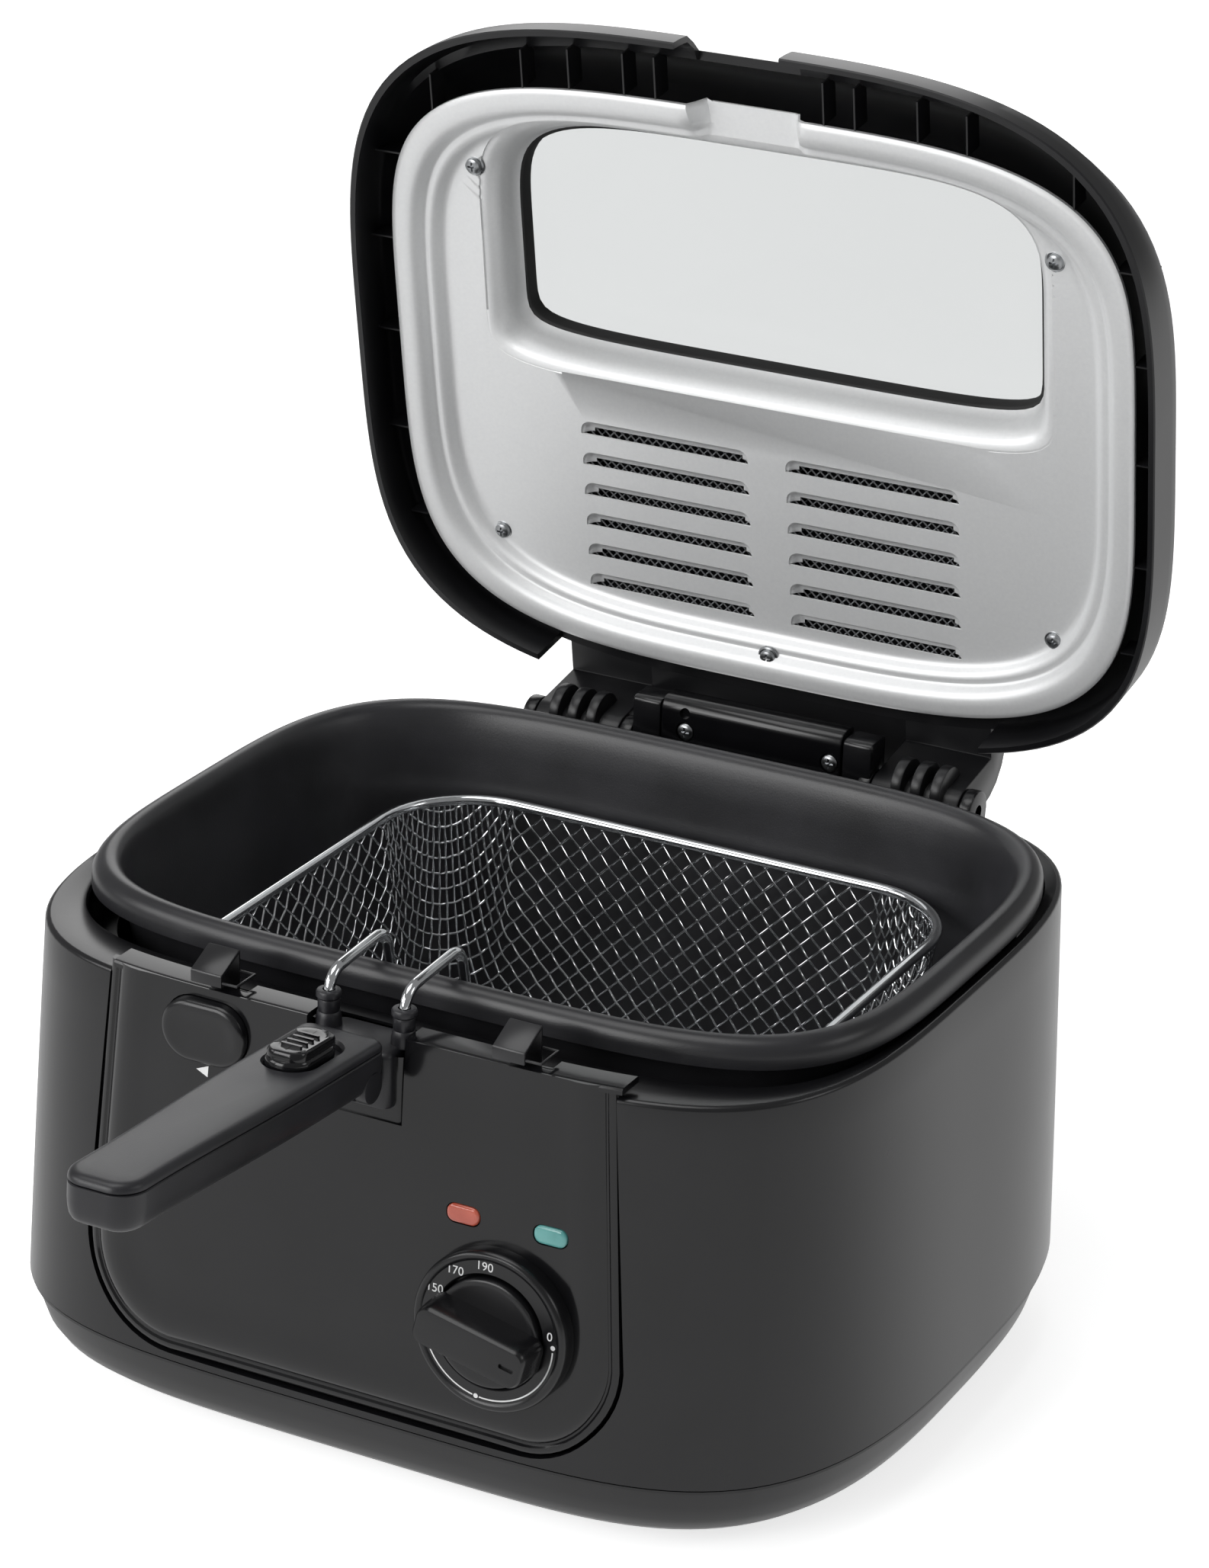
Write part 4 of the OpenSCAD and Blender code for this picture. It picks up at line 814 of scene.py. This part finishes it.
class FRYER_OT_lid(bpy.types.Operator):
    """Adds the lid's outer shell with its skirt, dome, arms and ribs"""
    bl_idname = "fryer.lid"
    bl_label = "Lid"

    def execute(self, context):
        t, lean, dome_inset = 0.0020, 0.0088, 0.046
        # (height over the lower edge in mm, share of the lean)
        skirt = ((0.4, 0), (4.5, 0.05), (9, 0.14), (13, 0.55))
        # (height over the plate in mm, share of the dome's inset)
        dome = ((0, 0), (1.5, 0.012), (4, 0.055), (6.5, 0.095), (9, 0.14), (11.5, 0.20), (14, 0.27),
                (16.5, 0.35), (18.5, 0.44), (20.2, 0.53), (21.5, 0.63), (22.6, 0.73), (23.4, 0.83),
                (23.8, 0.92), (24, 1.0))
        rings = [lid_at(PLATE_Z - t + h / 1000, dome_inset * f, lean, -t)
                 for h, f in reversed(dome)]
        rings += [lid_at(LID_Z + h / 1000, 0, lean * k, -t) for h, k in reversed(skirt)]
        rings += [lid_at(LID_Z, 0, 0, g) for g in (-0.0020, -0.0004)]
        rings += [lid_at(LID_Z + h / 1000, 0, lean * k) for h, k in skirt]
        rings += [lid_at(PLATE_Z + h / 1000, dome_inset * f, lean) for h, f in dome]
        shell = loft("lid_outer", rings, True, True)
        cut(shell, loft("pane", pane_rings(((10.5, 9), (11.5, 50))), True, True))
        cut(shell, prism("wire_gap", box(-0.017, 0.017, -0.16, -0.1), LID_Z - 0.005, PLATE_Z, "Z"))
        cut(shell, prism("rear_gap", box(-0.0765, 0.0765, 0.06, 0.1109), LID_Z - 0.005,
                         PLATE_Z - 0.0002, "Z"))
        for i in range(5):
            for x in (-0.036, 0.036):
                vent = rounded(0.05, 0.004, 0.0019, x, 0.026 + i * 0.011, 4)
                cut(shell, prism("vent", vent, PLATE_Z, PLATE_Z + 0.06, "Z"))
        # Wall of the window opening, from the dome down to the pane
        well = loft("window_wall", pane_rings(((5, 18.6), (10, 18.8), (11.2, 20))))
        baffle = prism("baffle", rounded(0.146, 0.076, 0.006, 0, 0.0500), PLATE_Z + 0.0085,
                       PLATE_Z + 0.0100, "Z")
        lid = join([shell, well, self.arms(), baffle] + self.ribs(), "lid_outer")
        dress(smooth(move_mesh(lid, OPENED), 30), "lid_plastic", "lid")
        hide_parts("lid_shell")
        return {"FINISHED"}

    def arms(self):
        """The two arms that hold the lid on the hinge pins, each with its knuckles."""
        y, z = HINGE.y, HINGE.z
        side = arc(y, z, 0.007, 180, 360, 15)
        side += mm(y, PLATE_Z, ((7, -6), (6.2, -1), (4, 4), (0, 8.5), (-6, 12), (-12, 14.5),
                                (-19, 15), (-19, 0.2), (-7, 0.2)))
        disc = circle(y - 0.0042, z + 0.0008, 0.0086, 36)
        parts = []
        for x0, x1, first in ((-0.0737, -0.044, 0.0078), (0.044, 0.0737, 0.0095)):
            parts.append(prism("arm", side, x0, x1, "X"))
            for k in range(3):
                x = x0 + first + 0.0066 * k
                parts.append(prism("knuckle", disc, x - 0.0018, x + 0.0018, "X"))
        apron = mm(0.0935, PLATE_Z, ((0, 0.2), (0, 2.4)))
        apron += mm(y, PLATE_Z, ((4, 2.4), (5, 1.4), (5, 0.2)))
        parts.append(prism("apron", apron, -0.0450, 0.0450, "X"))
        for obj in parts:
            bevel(obj, 0.0007)
        return join(parts, "arms")

    def ribs(self):
        """Thin ribs inside the skirt, each running out from the plate's edge."""
        rows = []
        for x in (-0.106, -0.074, -0.058, -0.0395, -0.029, 0.026, 0.036, 0.056, 0.0715, 0.1046):
            rows.append(((x, -0.0070 - squared(x, 0.1317, 3.43, 0.1027, 3.63)),
                         (x, -squared(x, PLATE_X, 3.75, PLATE_Y, 4.9))))
        for y in (-0.065, -0.036, -0.004, 0.030, 0.060):
            across = squared(y + 0.007, 0.1092 if y > -0.007 else 0.1107, 3.8, 0.1317, 3.43)
            for side in (-1, 1):
                rows.append(((side * across, y),
                             (side * squared(y, PLATE_Y, 4.4, PLATE_X, 3.75), y)))
        parts = []
        for outer, inner in rows:
            p, q = Vector(outer), Vector(inner)
            along = (q - p).normalized()
            q -= along * 0.0006
            across = Vector((-along.y, along.x)) * bpy.context.scene.fryer_sizes.rib
            foot = [p + across, p - across, q - across, q + across]
            parts.append(prism("rib", foot, PLATE_Z - 0.0066, PLATE_Z + 0.0015, "Z"))
        return parts


class FRYER_OT_lid_plate(bpy.types.Operator):
    """Adds the pressed inner plate with its bead, window recess, wire trough and louvres"""
    bl_idname = "fryer.lid_plate"
    bl_label = "Inner plate"

    def execute(self, context):
        # (inset from the edge, drop below the middle) in mm: hem, flange, bead, step, middle
        profile = ((0, 6.2), (0, 6.9), (0.4, 7.2), (1.2, 7.25), (3.2, 7.2), (5, 7), (6.2, 6.4),
                   (7, 5.4), (7.6, 4.4), (8.2, 3.6), (9, 3.2), (10, 3.3), (11, 3), (11.8, 2.2),
                   (12.5, 1.2), (13.3, 0.5), (14.5, 0.1), (16.2, 0), (26, 0))
        plate = loft("lid_liner", [plate_at(PLATE_Z - drop / 1000, inset / 1000)
                                   for inset, drop in profile], end_cap=True)
        cut(plate, loft("opening", pane_rings(((11.2, -20), (11.2, 20))), True, True))
        for vert in plate.data.vertices:
            # the trough for the fork wires lifts the flange and bead up to the middle's level
            if vert.co.y < -0.06:
                f = min(max((0.0188 - abs(vert.co.x)) / 0.0042, 0.0), 1.0)
                vert.co.z += (PLATE_Z + 0.0002 - vert.co.z) * f * f * (3 - 2 * f)
        recess = loft("window_recess", pane_rings((
            (11.2, 0), (9.8, 0.2), (8.6, 0.9), (7.4, 2.2), (6.2, 4.8), (5.2, 7.8), (4.4, 10),
            (3.6, 11.2))))
        plate = join([plate, recess], "lid_liner")
        louvres = [(side, i) for side in (-1, 1) for i in range(6)]
        for side, i in louvres:
            slit = self.pocket(side, i, 0.0)
            cut(plate, prism("slit", slit, PLATE_Z - 0.004, PLATE_Z + 0.004, "Z"))
        modify(plate, "SOLIDIFY", thickness=0.0007, offset=1.0)
        ramps = [self.ramp(side, i) for side, i in louvres]
        self.place(join([plate] + ramps, "lid_liner"), 40, "plate_aluminium")
        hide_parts("lid_plate")

        gasket = loft("window_seal", pane_rings((
            (3.7, 11.2), (3, 11.4), (2.6, 12), (2.6, 16.4), (5.6, 16.4), (5.6, 11.2))), closed=True)
        self.place(gasket, 40, "gasket_rubber")
        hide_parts("window_gasket")
        glass = loft("window_pane", pane_rings(((4.5, 16.5), (5, 16.8), (5, 17.8), (4.5, 18.2))),
                     True, True)
        self.place(glass, 40, "window_glass")
        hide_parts("window_glass")
        self.filter_mesh()
        self.screws()
        return {"FINISHED"}

    def place(self, obj, angle, slot):
        """Swings a piece of the lid up from where it lies when closed, and dresses it."""
        dress(smooth(move_mesh(obj, OPENED), angle), slot, "lid")

    def filter_mesh(self):
        """Fine wire filter behind the louvres, woven on the slant and held in a thin hem."""
        pitch = bpy.context.scene.fryer_sizes.filter_pitch
        half_x, half_y, y0, z = 0.069, 0.0335, 0.049, PLATE_Z + 0.0036
        runs = []
        for turn in (1, -1):
            for k in range(-50, 51):
                # the wire's line x + turn * y = c, clipped to the frame
                c = k * pitch * math.sqrt(2)
                low, high = max(-half_x, c - half_y), min(half_x, c + half_y)
                if low < high:
                    runs.append([(x, y0 + turn * (c - x), z + 0.0001 * turn) for x in (low, high)])
        weave = tube("filter_weave", runs, 0.00028, 0, caps=False)
        hem = loft("hem", [ring(rounded(2 * (half_x + g), 2 * (half_y + g), 0.003, 0, y0), z + h)
                           for g, h in box(-0.001, 0.001, -0.0004, 0.0006)], closed=True)
        mesh = join([weave, hem], "filter_weave")
        self.place(mesh, 60, "filter_steel")
        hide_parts("filter_mesh")

    def screws(self):
        """Five cross-headed screws in pressed dimples."""
        parts = []
        for x, y, z in ((-0.0963, -0.0621, 0.0), (0.0963, -0.0621, 0.0), (-0.0953, 0.0641, 0.0),
                        (0.0953, 0.0641, 0.0), (0.0, 0.0880, -0.0044)):
            head = lathe("head", ((3.6, -0.1), (3.4, -0.6), (3, -0.8), (2.7, -0.7), (2.6, -1),
                                  (2.3, -1.7), (1.6, -2.1), (0.6, -2.2)), count=32)
            cross_cut(head, 0.0030, -0.003, -0.0012)
            parts.append(move_mesh(head, Matrix.Translation((x, y, PLATE_Z + z))))
        screws = join(parts, "liner_screws")
        self.place(screws, 35, "screw_steel")
        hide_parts("lid_screws")

    def pocket(self, side, i, inset):
        """Outline of a louvre: straight along its open edge, with round upper corners."""
        x, y, tall = side * 0.0354, 0.0214 + 0.01076 * i, 0.0046
        half, r = 0.0290 - inset, 0.0034 - inset
        low, high = y - tall / 2 + inset, y + tall / 2
        left, right = x - half, x + half
        return ([(left, high), (left, low + r)] + arc(left + r, low + r, r, 180, 270, 6)
                + arc(right - r, low + r, r, 270, 360, 6) + [(right, low + r), (right, high)])

    def ramp(self, side, i):
        """The pressed ramp of a louvre: a strip from the plate down to its open edge."""
        rows = ((-0.1, 0), (0.4, 0.2), (0.9, 0.8), (1.4, 1.4), (2, 1.9), (2.8, 2.2), (3.3, 2.3))
        return sheet_of("ramp", [ring(self.pocket(side, i, inset / 1000), PLATE_Z + deep / 1000)
                                 for inset, deep in rows])


class FRYER_OT_basket(bpy.types.Operator):
    """Adds the woven basket with its rim wire and fork wires"""
    bl_idname = "fryer.basket"
    bl_label = "Basket"

    def execute(self, context):
        sizes = context.scene.fryer_sizes
        # a flat woven sheet is drawn down over a rounded block
        pitch, top = sizes.mesh_pitch, HEEL * math.pi / 2 + MESH_DEPTH - HEEL
        step, reach, runs = pitch / 2, 0.24, []
        for turn in (1, -1):
            for i in range(-46, 47):
                run = []
                for k in range(int(2 * reach / step) + 1):
                    along = -reach + k * step
                    x = (along + i * pitch) * math.sqrt(0.5)
                    y = turn * (along - i * pitch) * math.sqrt(0.5)
                    weave = 0.00036 * turn * math.sin(math.pi * (along / pitch + i + 0.5))
                    place, s = drawn(x, y, weave)
                    if s <= top:
                        run.append(place)
                        continue
                    if len(run) > 1:
                        runs.append(run)
                    run = []
                if len(run) > 1:
                    runs.append(run)
        mesh = tube("basket_weave", runs, sizes.mesh_wire, 1, caps=False)
        dress(smooth(mesh, 60), "mesh_steel", "basket")
        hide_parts("basket_mesh")

        r = 0.031
        loop = rounded(2 * (FLOOR_X - CORNER + r), 2 * (FLOOR_Y - CORNER + r), r, 0, BASKET_Y, 12)
        rim = tube("basket_rim", [ring(loop, BASKET_Z)], sizes.rim_wire, 5, True)
        dress(smooth(rim, 60), "wire_chrome", "basket")
        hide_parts("basket_rim_wire")

        inside = BASKET_Y - 0.084 + 0.0031
        fork = tube("fork_wires", [rounded_path([
            (x, FORK_Y, RIM_Z - 0.014), (x, FORK_Y, RIM_Z + 0.0098), (x, -0.0893, RIM_Z + 0.0114),
            (x, inside, RIM_Z - 0.006), (x, inside, BASKET_Z - 0.016)], 0.0062)
            for x in (-FORK_X, FORK_X)], 0.0016, 6)
        dress(smooth(fork, 60), "wire_chrome", "basket")
        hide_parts("basket_fork")
        return {"FINISHED"}


class FRYER_OT_fork_seat(bpy.types.Operator):
    """Adds the collars on the fork wires and the bracket that the handle folds on"""
    bl_idname = "fryer.fork_seat"
    bl_label = "Bracket and collars"

    def execute(self, context):
        collar = ((1.8, -1), (2.9, -1), (3.1, -0.4), (3.1, 2.2), (2.9, 2.7), (3.3, 3), (3.6, 3.4),
                  (3.6, 4.6), (3.3, 5.1), (2.6, 5.3), (1.8, 5.3))
        socket = ((3.8, -5.6), (3.6, -3), (3.3, -1.4), (3, -1), (1.8, -1))

        def pair(name, profile):
            return [lathe(name, profile, x, FORK_Y, RIM_Z, 40, False) for x in (-FORK_X, FORK_X)]
        collars = join(pair("collar", collar), "wire_collars")
        dress(smooth(collars, 35), "collar_plastic", "basket")
        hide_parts("fork_collars")

        rows = ((1.2, -22), (0.3, -21.4), (0, -20.5), (0, -6.6), (0.4, -5.6), (1.2, -5))
        block = stack("block", [(26 - 2 * g, 17.5 - 2 * g, 3, z) for g, z in rows], 0, -0.12175,
                      RIM_Z, 6)
        r = 0.005
        lug = arc(PIVOT_Y, PIVOT_Z, r, 90, 270, 15)
        lug += [(PIVOT_Y + 2 * r, PIVOT_Z - r), (PIVOT_Y + 2 * r, PIVOT_Z + r)]
        parts = [block] + pair("socket", socket)
        parts.append(bevel(prism("lug", lug, -0.0085, 0.0085, "X"), 0.0006))
        bracket = join(parts, "fold_bracket")
        dress(smooth(bracket, 35), "bracket_plastic", "basket")
        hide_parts("handle_bracket")
        return {"FINISHED"}


class FRYER_OT_handle(bpy.types.Operator):
    """Adds the two shells of the folding handle with its thumb slider"""
    bl_idname = "fryer.handle"
    bl_label = "Handle"

    def execute(self, context):
        top = 0.012
        # (inset of the plan, height) in millimetres
        under, upper = [loft(name, [ring(grip(inset / 1000), z / 1000) for inset, z in rows], True,
                             True) for name, rows in (
            ("handle_lower", ((5.2, -2), (4, -2), (2.6, -1.7), (1.4, -1), (0.6, 0.2), (0.2, 2),
                              (0, 4), (0, 8.7), (0.4, 9), (2, 9))),
            ("handle_upper", ((2, 9.2), (0.5, 9.2), (0, 9.6), (0.1, 10.4), (0.5, 11.1),
                              (1.1, 11.6), (1.9, 11.9), (3, 12), (6, 12.2))))]
        cut(upper, stack("pocket", [(w, w + 12, w * 0.49, z) for w, z in (
            (15, -2.5), (15, -0.8), (16.6, 0.4), (16.6, 4))], 0, -0.0165, top, 12))
        notch = mm(0, 0, ((-5.6, -10), (30, -10), (30, 5.6), (0, 5.6), (-2.8, 4.9), (-4.9, 2.8),
                          (-5.6, 0)))
        cut(under, prism("lug_gap", notch, -0.009, 0.009, "X"))
        cheeks = [bevel(prism("cheek", circle(0, 0, 0.0048, 40), x0, x1, "X"), 0.0005)
                  for x0, x1 in ((-0.0130, -0.0092), (0.0092, 0.0130))]
        under = join([under] + cheeks, "handle_lower")
        for obj in (under, upper):
            for vert in obj.data.vertices:
                # the grip narrows towards its end
                f = min(max((-vert.co.y - 0.030) / 0.075, 0.0), 1.0)
                vert.co.x *= 1 - 0.15 * f * f * (3 - 2 * f)
            dress(smooth(move_mesh(obj, ON_HANDLE), 32), "handle_plastic", "handle")
        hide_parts("handle_bottom")
        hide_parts("handle_top")
        self.slider(top)
        return {"FINISHED"}

    def slider(self, top):
        """Thumb slider: a dark carriage with a winged, ribbed cap."""
        y = -0.0180
        rows = ((13.4, 23.2, -2.2), (13.6, 23.4, 1), (13.2, 23, 1.8), (12.4, 22.2, 2.2))
        carriage = stack("carriage", [(w, d, w * 0.48, z) for w, d, z in rows], 0, y, top, 10)
        cap = stack("cap", ((12, 21.2, 4, 1.8), (12, 21.2, 4, 3.6), (11.4, 20.6, 4, 4.3),
                            (10.2, 19.4, 4, 4.6), (7.8, 16, 4, 4.4)), 0, y + 0.0005, top, 10)
        ribs = [prism("rib", rounded(0.0064, 0.0009, 0.0004, 0, y - 0.0045 + k * 0.0030, 4),
                      top + 0.0040, top + 0.0051, "Z") for k in range(4)]
        slider = move_mesh(join([carriage, cap] + ribs, "thumb_slider"), ON_HANDLE)
        dress(smooth(slider, 32), "slider_plastic", "slider")
        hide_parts("handle_slider")


class FRYER_OT_controls(bpy.types.Operator):
    """Adds the release button, the lamps, the dial and the knob"""
    bl_idname = "fryer.controls"
    bl_label = "Controls"

    def execute(self, context):
        # (inset of the outline, distance in front of the housing's middle) in millimetres
        steps = ((0, 118), (0, 127.8), (0.3, 128.5), (0.9, 129), (1.8, 129.3), (3, 129.2),
                 (4.5, 129), (6.5, 128.8))
        button = loft("lid_button", [[Vector((x, -y / 1000, z)) for x, z in rounded(
            0.0270 - g / 500, 0.0186 - g / 500, 0.0092 - g / 1000, BUTTON_X, BUTTON_Z, 14)]
            for g, y in steps], True, True)
        dress(smooth(button, 40), "button_plastic", "button")
        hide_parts("release_button")

        for x, (name, slot, node) in zip(LAMP_X, (("power_window", "red_lens", "power_lens"),
                                                  ("ready_window", "green_lens", "ready_lens"))):
            lens = stack(name, [(10 - 2 * g, 5.3 - 2 * g, 2.4 - g, z) for g, z in (
                (0, -3), (0, 0.9), (0.2, 1.2), (0.6, 1.4), (1.2, 1.5))])
            dress(smooth(move_mesh(lens, on_panel(x, LAMP_Z)), 40), slot, "base")
            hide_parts(node)

        seat = on_panel(*DIAL, 0.0008)
        dial = lathe("dial_bezel", (
            (9, -1), (23.5, -1), (23.65, 0), (23.65, 3.5), (23.4, 4.4), (22.9, 5), (22.2, 5.2),
            (21.4, 5), (20.9, 4.6), (17.2, 4.6), (16.8, 4.3), (16.6, 3.8), (16.6, 1.2), (9, 1.2)),
            count=128, caps=False)
        dress(smooth(move_mesh(dial, seat), 35), "dial_plastic", "base")
        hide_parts("dial_ring")
        self.scale()

        disc = lathe("disc", ((15, 2.2), (16, 2.2), (16, 5.4), (15.7, 6), (15.1, 6.3), (14, 6.2),
                              (6, 6)), count=96)
        bar = stack("bar", ((35, 12.8, 4, 5.8), (34.8, 12.6, 4, 12), (34.4, 12, 3.8, 15),
                            (34, 11.4, 3.5, 16), (33, 10.4, 3, 16.6), (31, 8.6, 2.2, 16.8)))
        cut(bar, prism("mark", rounded(0.0046, 0.0014, 0.0006, 0.0125, 0, 6), 0.0160, 0.03, "Z"))
        knob = move_mesh(join([disc, bar], "control_knob"),
                         seat @ Matrix.Rotation(math.radians(-12), 4, "Z"))
        dress(smooth(knob, 35), "knob_plastic", "knob")
        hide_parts("temperature_knob")
        return {"FINISHED"}

    def scale(self):
        """The dial's printed scale: its numbers, its marks and the arc between them."""
        ink, parts = 0.00004, []
        for text, turn in (("0", 11), ("190", 96), ("170", 125), ("150", 152.6)):
            bpy.ops.object.text_add()
            label = bpy.context.active_object
            label.data.body = text
            label.data.size = bpy.context.scene.fryer_sizes.figures
            label.data.align_x = label.data.align_y = "CENTER"
            label.data.extrude = ink
            bpy.ops.object.convert(target="MESH")
            a = math.radians(turn)
            parts.append(move_mesh(bpy.context.active_object, Matrix.Translation(
                (0.0192 * math.cos(a), 0.0192 * math.sin(a), 0))))
        outlines = [arc(0, 0, 0.0202, start, end, 40) + arc(0, 0, 0.0198, end, start, 40)
                    for start, end in ((190, 259), (265, 358))]
        outlines += [circle(*arc(0, 0, 0.0200, turn, turn, 1)[0], 0.0007, 20)
                     for turn in (185, 262, 2)]
        parts += [prism("print", outline, -ink, ink, "Z") for outline in outlines]
        scale = move_mesh(join(parts, "dial_scale"), on_panel(*DIAL, 0.00545))
        dress(scale, "dial_plastic", "base", "white_print")


class FRYER_OT_stage(bpy.types.Operator):
    """Adds the floor, the lamps, the world and the camera"""
    bl_idname = "fryer.stage"
    bl_label = "Stage"

    def execute(self, context):
        scene = context.scene
        scene.view_settings.view_transform = "Standard"
        self.floor(context)
        self.world(scene)
        for name, place, size, power in (
                ("lamp_top", (-0.3, -0.3, 1.6), 1.0, 8.0),
                ("lamp_left", (-1.5, -1.1, 1.0), 0.8, 7.0),
                ("lamp_right", (1.7, 0.3, 1.0), 0.6, 2.5),
                ("lamp_front", (-0.8, -2.0, 1.0), 1.2, 22.0),
                ("lamp_back", (-1.1, 2.1, 1.15), 1.3, 9.0)):
            lamp = bpy.data.lights.new(name, "AREA")
            lamp.energy, lamp.size = power, size
            holder = bpy.data.objects.new(name, lamp)
            scene.collection.objects.link(holder)
            aim = Vector((0, 0, 0.15)) - Vector(place)
            turn = aim.to_track_quat("-Z", "Y").to_matrix().to_4x4()
            holder.matrix_world = Matrix.Translation(place) @ turn
        self.camera(scene)
        return {"FINISHED"}

    def floor(self, context):
        """White paper: lighter to the camera and in mirrored views than it lights the object."""
        bpy.ops.object.select_all(action="DESELECT")
        bpy.ops.mesh.primitive_plane_add(size=6.0, location=(0, 0, 0))
        floor = context.active_object
        floor.name = "studio_floor"
        material, tree, _ = blank("studio_paper")
        path = add(tree, "ShaderNodeLightPath")
        seen = add(tree, "ShaderNodeMath", [(0, path.outputs["Is Camera Ray"]),
                                            (1, path.outputs["Is Transmission Ray"])],
                   operation="MAXIMUM")
        paper = add(tree, "ShaderNodeBsdfDiffuse", Color=srgb("#F4F4F4"))
        glow = add(tree, "ShaderNodeEmission", Color=(1, 1, 1, 1), Strength=0.7)
        total = add(tree, "ShaderNodeAddShader", [(0, paper.outputs[0]), (1, glow.outputs[0])])
        lit = add(tree, "ShaderNodeMixShader", [
            (0, seen.outputs[0]), (1, paper.outputs[0]), (2, total.outputs[0])])
        plain = add(tree, "ShaderNodeEmission", Strength=0.9)
        mirrored = add(tree, "ShaderNodeMixShader", [
            (0, path.outputs["Is Glossy Ray"]), (1, lit.outputs[0]), (2, plain.outputs[0])])
        floor.data.materials.append(finished(material, tree, mirrored))

    def world(self, scene):
        """Soft white light all round, behind a white background."""
        scene.world = bpy.data.worlds.new("studio_world")
        scene.world.use_nodes = True
        tree = scene.world.node_tree
        tree.nodes.clear()
        path = add(tree, "ShaderNodeLightPath")
        soft, white = [add(tree, "ShaderNodeBackground", Color=(1, 1, 1, 1), Strength=strength)
                       for strength in (0.26, 1.0)]
        mixed = add(tree, "ShaderNodeMixShader", [
            (0, path.outputs["Is Camera Ray"]), (1, soft.outputs[0]), (2, white.outputs[0])])
        add(tree, "ShaderNodeOutputWorld", [("Surface", mixed.outputs[0])])

    def camera(self, scene):
        """The camera, set to the photo's view."""
        yaw, pitch, roll = (math.radians(v) for v in (27.0519, 22.3256, 1.69418))
        back = Vector((math.sin(yaw) * math.cos(pitch), -math.cos(yaw) * math.cos(pitch),
                       math.sin(pitch)))
        right = (-back).cross(Vector((0, 0, 1))).normalized()
        up = right.cross(-back)
        across = math.cos(roll) * right + math.sin(roll) * up
        upward = -math.sin(roll) * right + math.cos(roll) * up
        camera = bpy.data.cameras.new("camera")
        camera.lens, camera.sensor_width = 109.6516, 36.0
        camera.sensor_fit = "AUTO"
        camera.clip_end = 20.0
        eye = bpy.data.objects.new("camera", camera)
        scene.collection.objects.link(eye)
        turn = Matrix((across, upward, back)).transposed().to_4x4()
        eye.matrix_world = Matrix.Translation((0.592092, -1.141051, 0.696282)) @ turn
        scene.camera = eye


class FRYER_OT_solids(bpy.types.Operator):
    """Gives the carried-over solids their finishes"""
    bl_idname = "fryer.solids"
    bl_label = "Solids"

    def execute(self, context):
        slots = {part["node"]: part["material_slot"] for part in frame["record"]["subparts"]}
        for name, obj in NODES.items():
            obj.data.materials.clear()
            obj.data.materials.append(MATERIALS[SLOT_FINISH.get(slots[name], slots[name])])
        return {"FINISHED"}


class FRYER_PT_sidebar(bpy.types.Panel):
    """Lists the fryer's pieces"""
    bl_idname = "FRYER_PT_sidebar"
    bl_label = "Deep Fryer"
    bl_space_type = "VIEW_3D"
    bl_region_type = "UI"
    bl_category = "Deep Fryer"

    def draw(self, context):
        for group in (context.scene.fryer_sizes, context.scene.fryer_colours):
            for name in group.__annotations__:
                self.layout.prop(group, name)
        for operator in OPERATORS:
            self.layout.operator(operator.bl_idname)


OPERATORS = [FRYER_OT_stage, FRYER_OT_solids, FRYER_OT_housing, FRYER_OT_front_panel, FRYER_OT_pot,
             FRYER_OT_lid, FRYER_OT_lid_plate, FRYER_OT_basket, FRYER_OT_fork_seat, FRYER_OT_handle,
             FRYER_OT_controls]
CLASSES = [FryerColours, FryerSizes] + OPERATORS + [FRYER_PT_sidebar]


def register():
    for cls in CLASSES:
        bpy.utils.register_class(cls)
    bpy.types.Scene.fryer_colours = bpy.props.PointerProperty(type=FryerColours)
    bpy.types.Scene.fryer_sizes = bpy.props.PointerProperty(type=FryerSizes)


def unregister():
    del bpy.types.Scene.fryer_colours, bpy.types.Scene.fryer_sizes
    for cls in reversed(CLASSES):
        bpy.utils.unregister_class(cls)


def main():
    register()
    finishes(bpy.context.scene.fryer_colours)
    for operator in OPERATORS:
        group, name = operator.bl_idname.split(".")
        getattr(getattr(bpy.ops, group), name)()


if __name__ == "__main__":
    main()
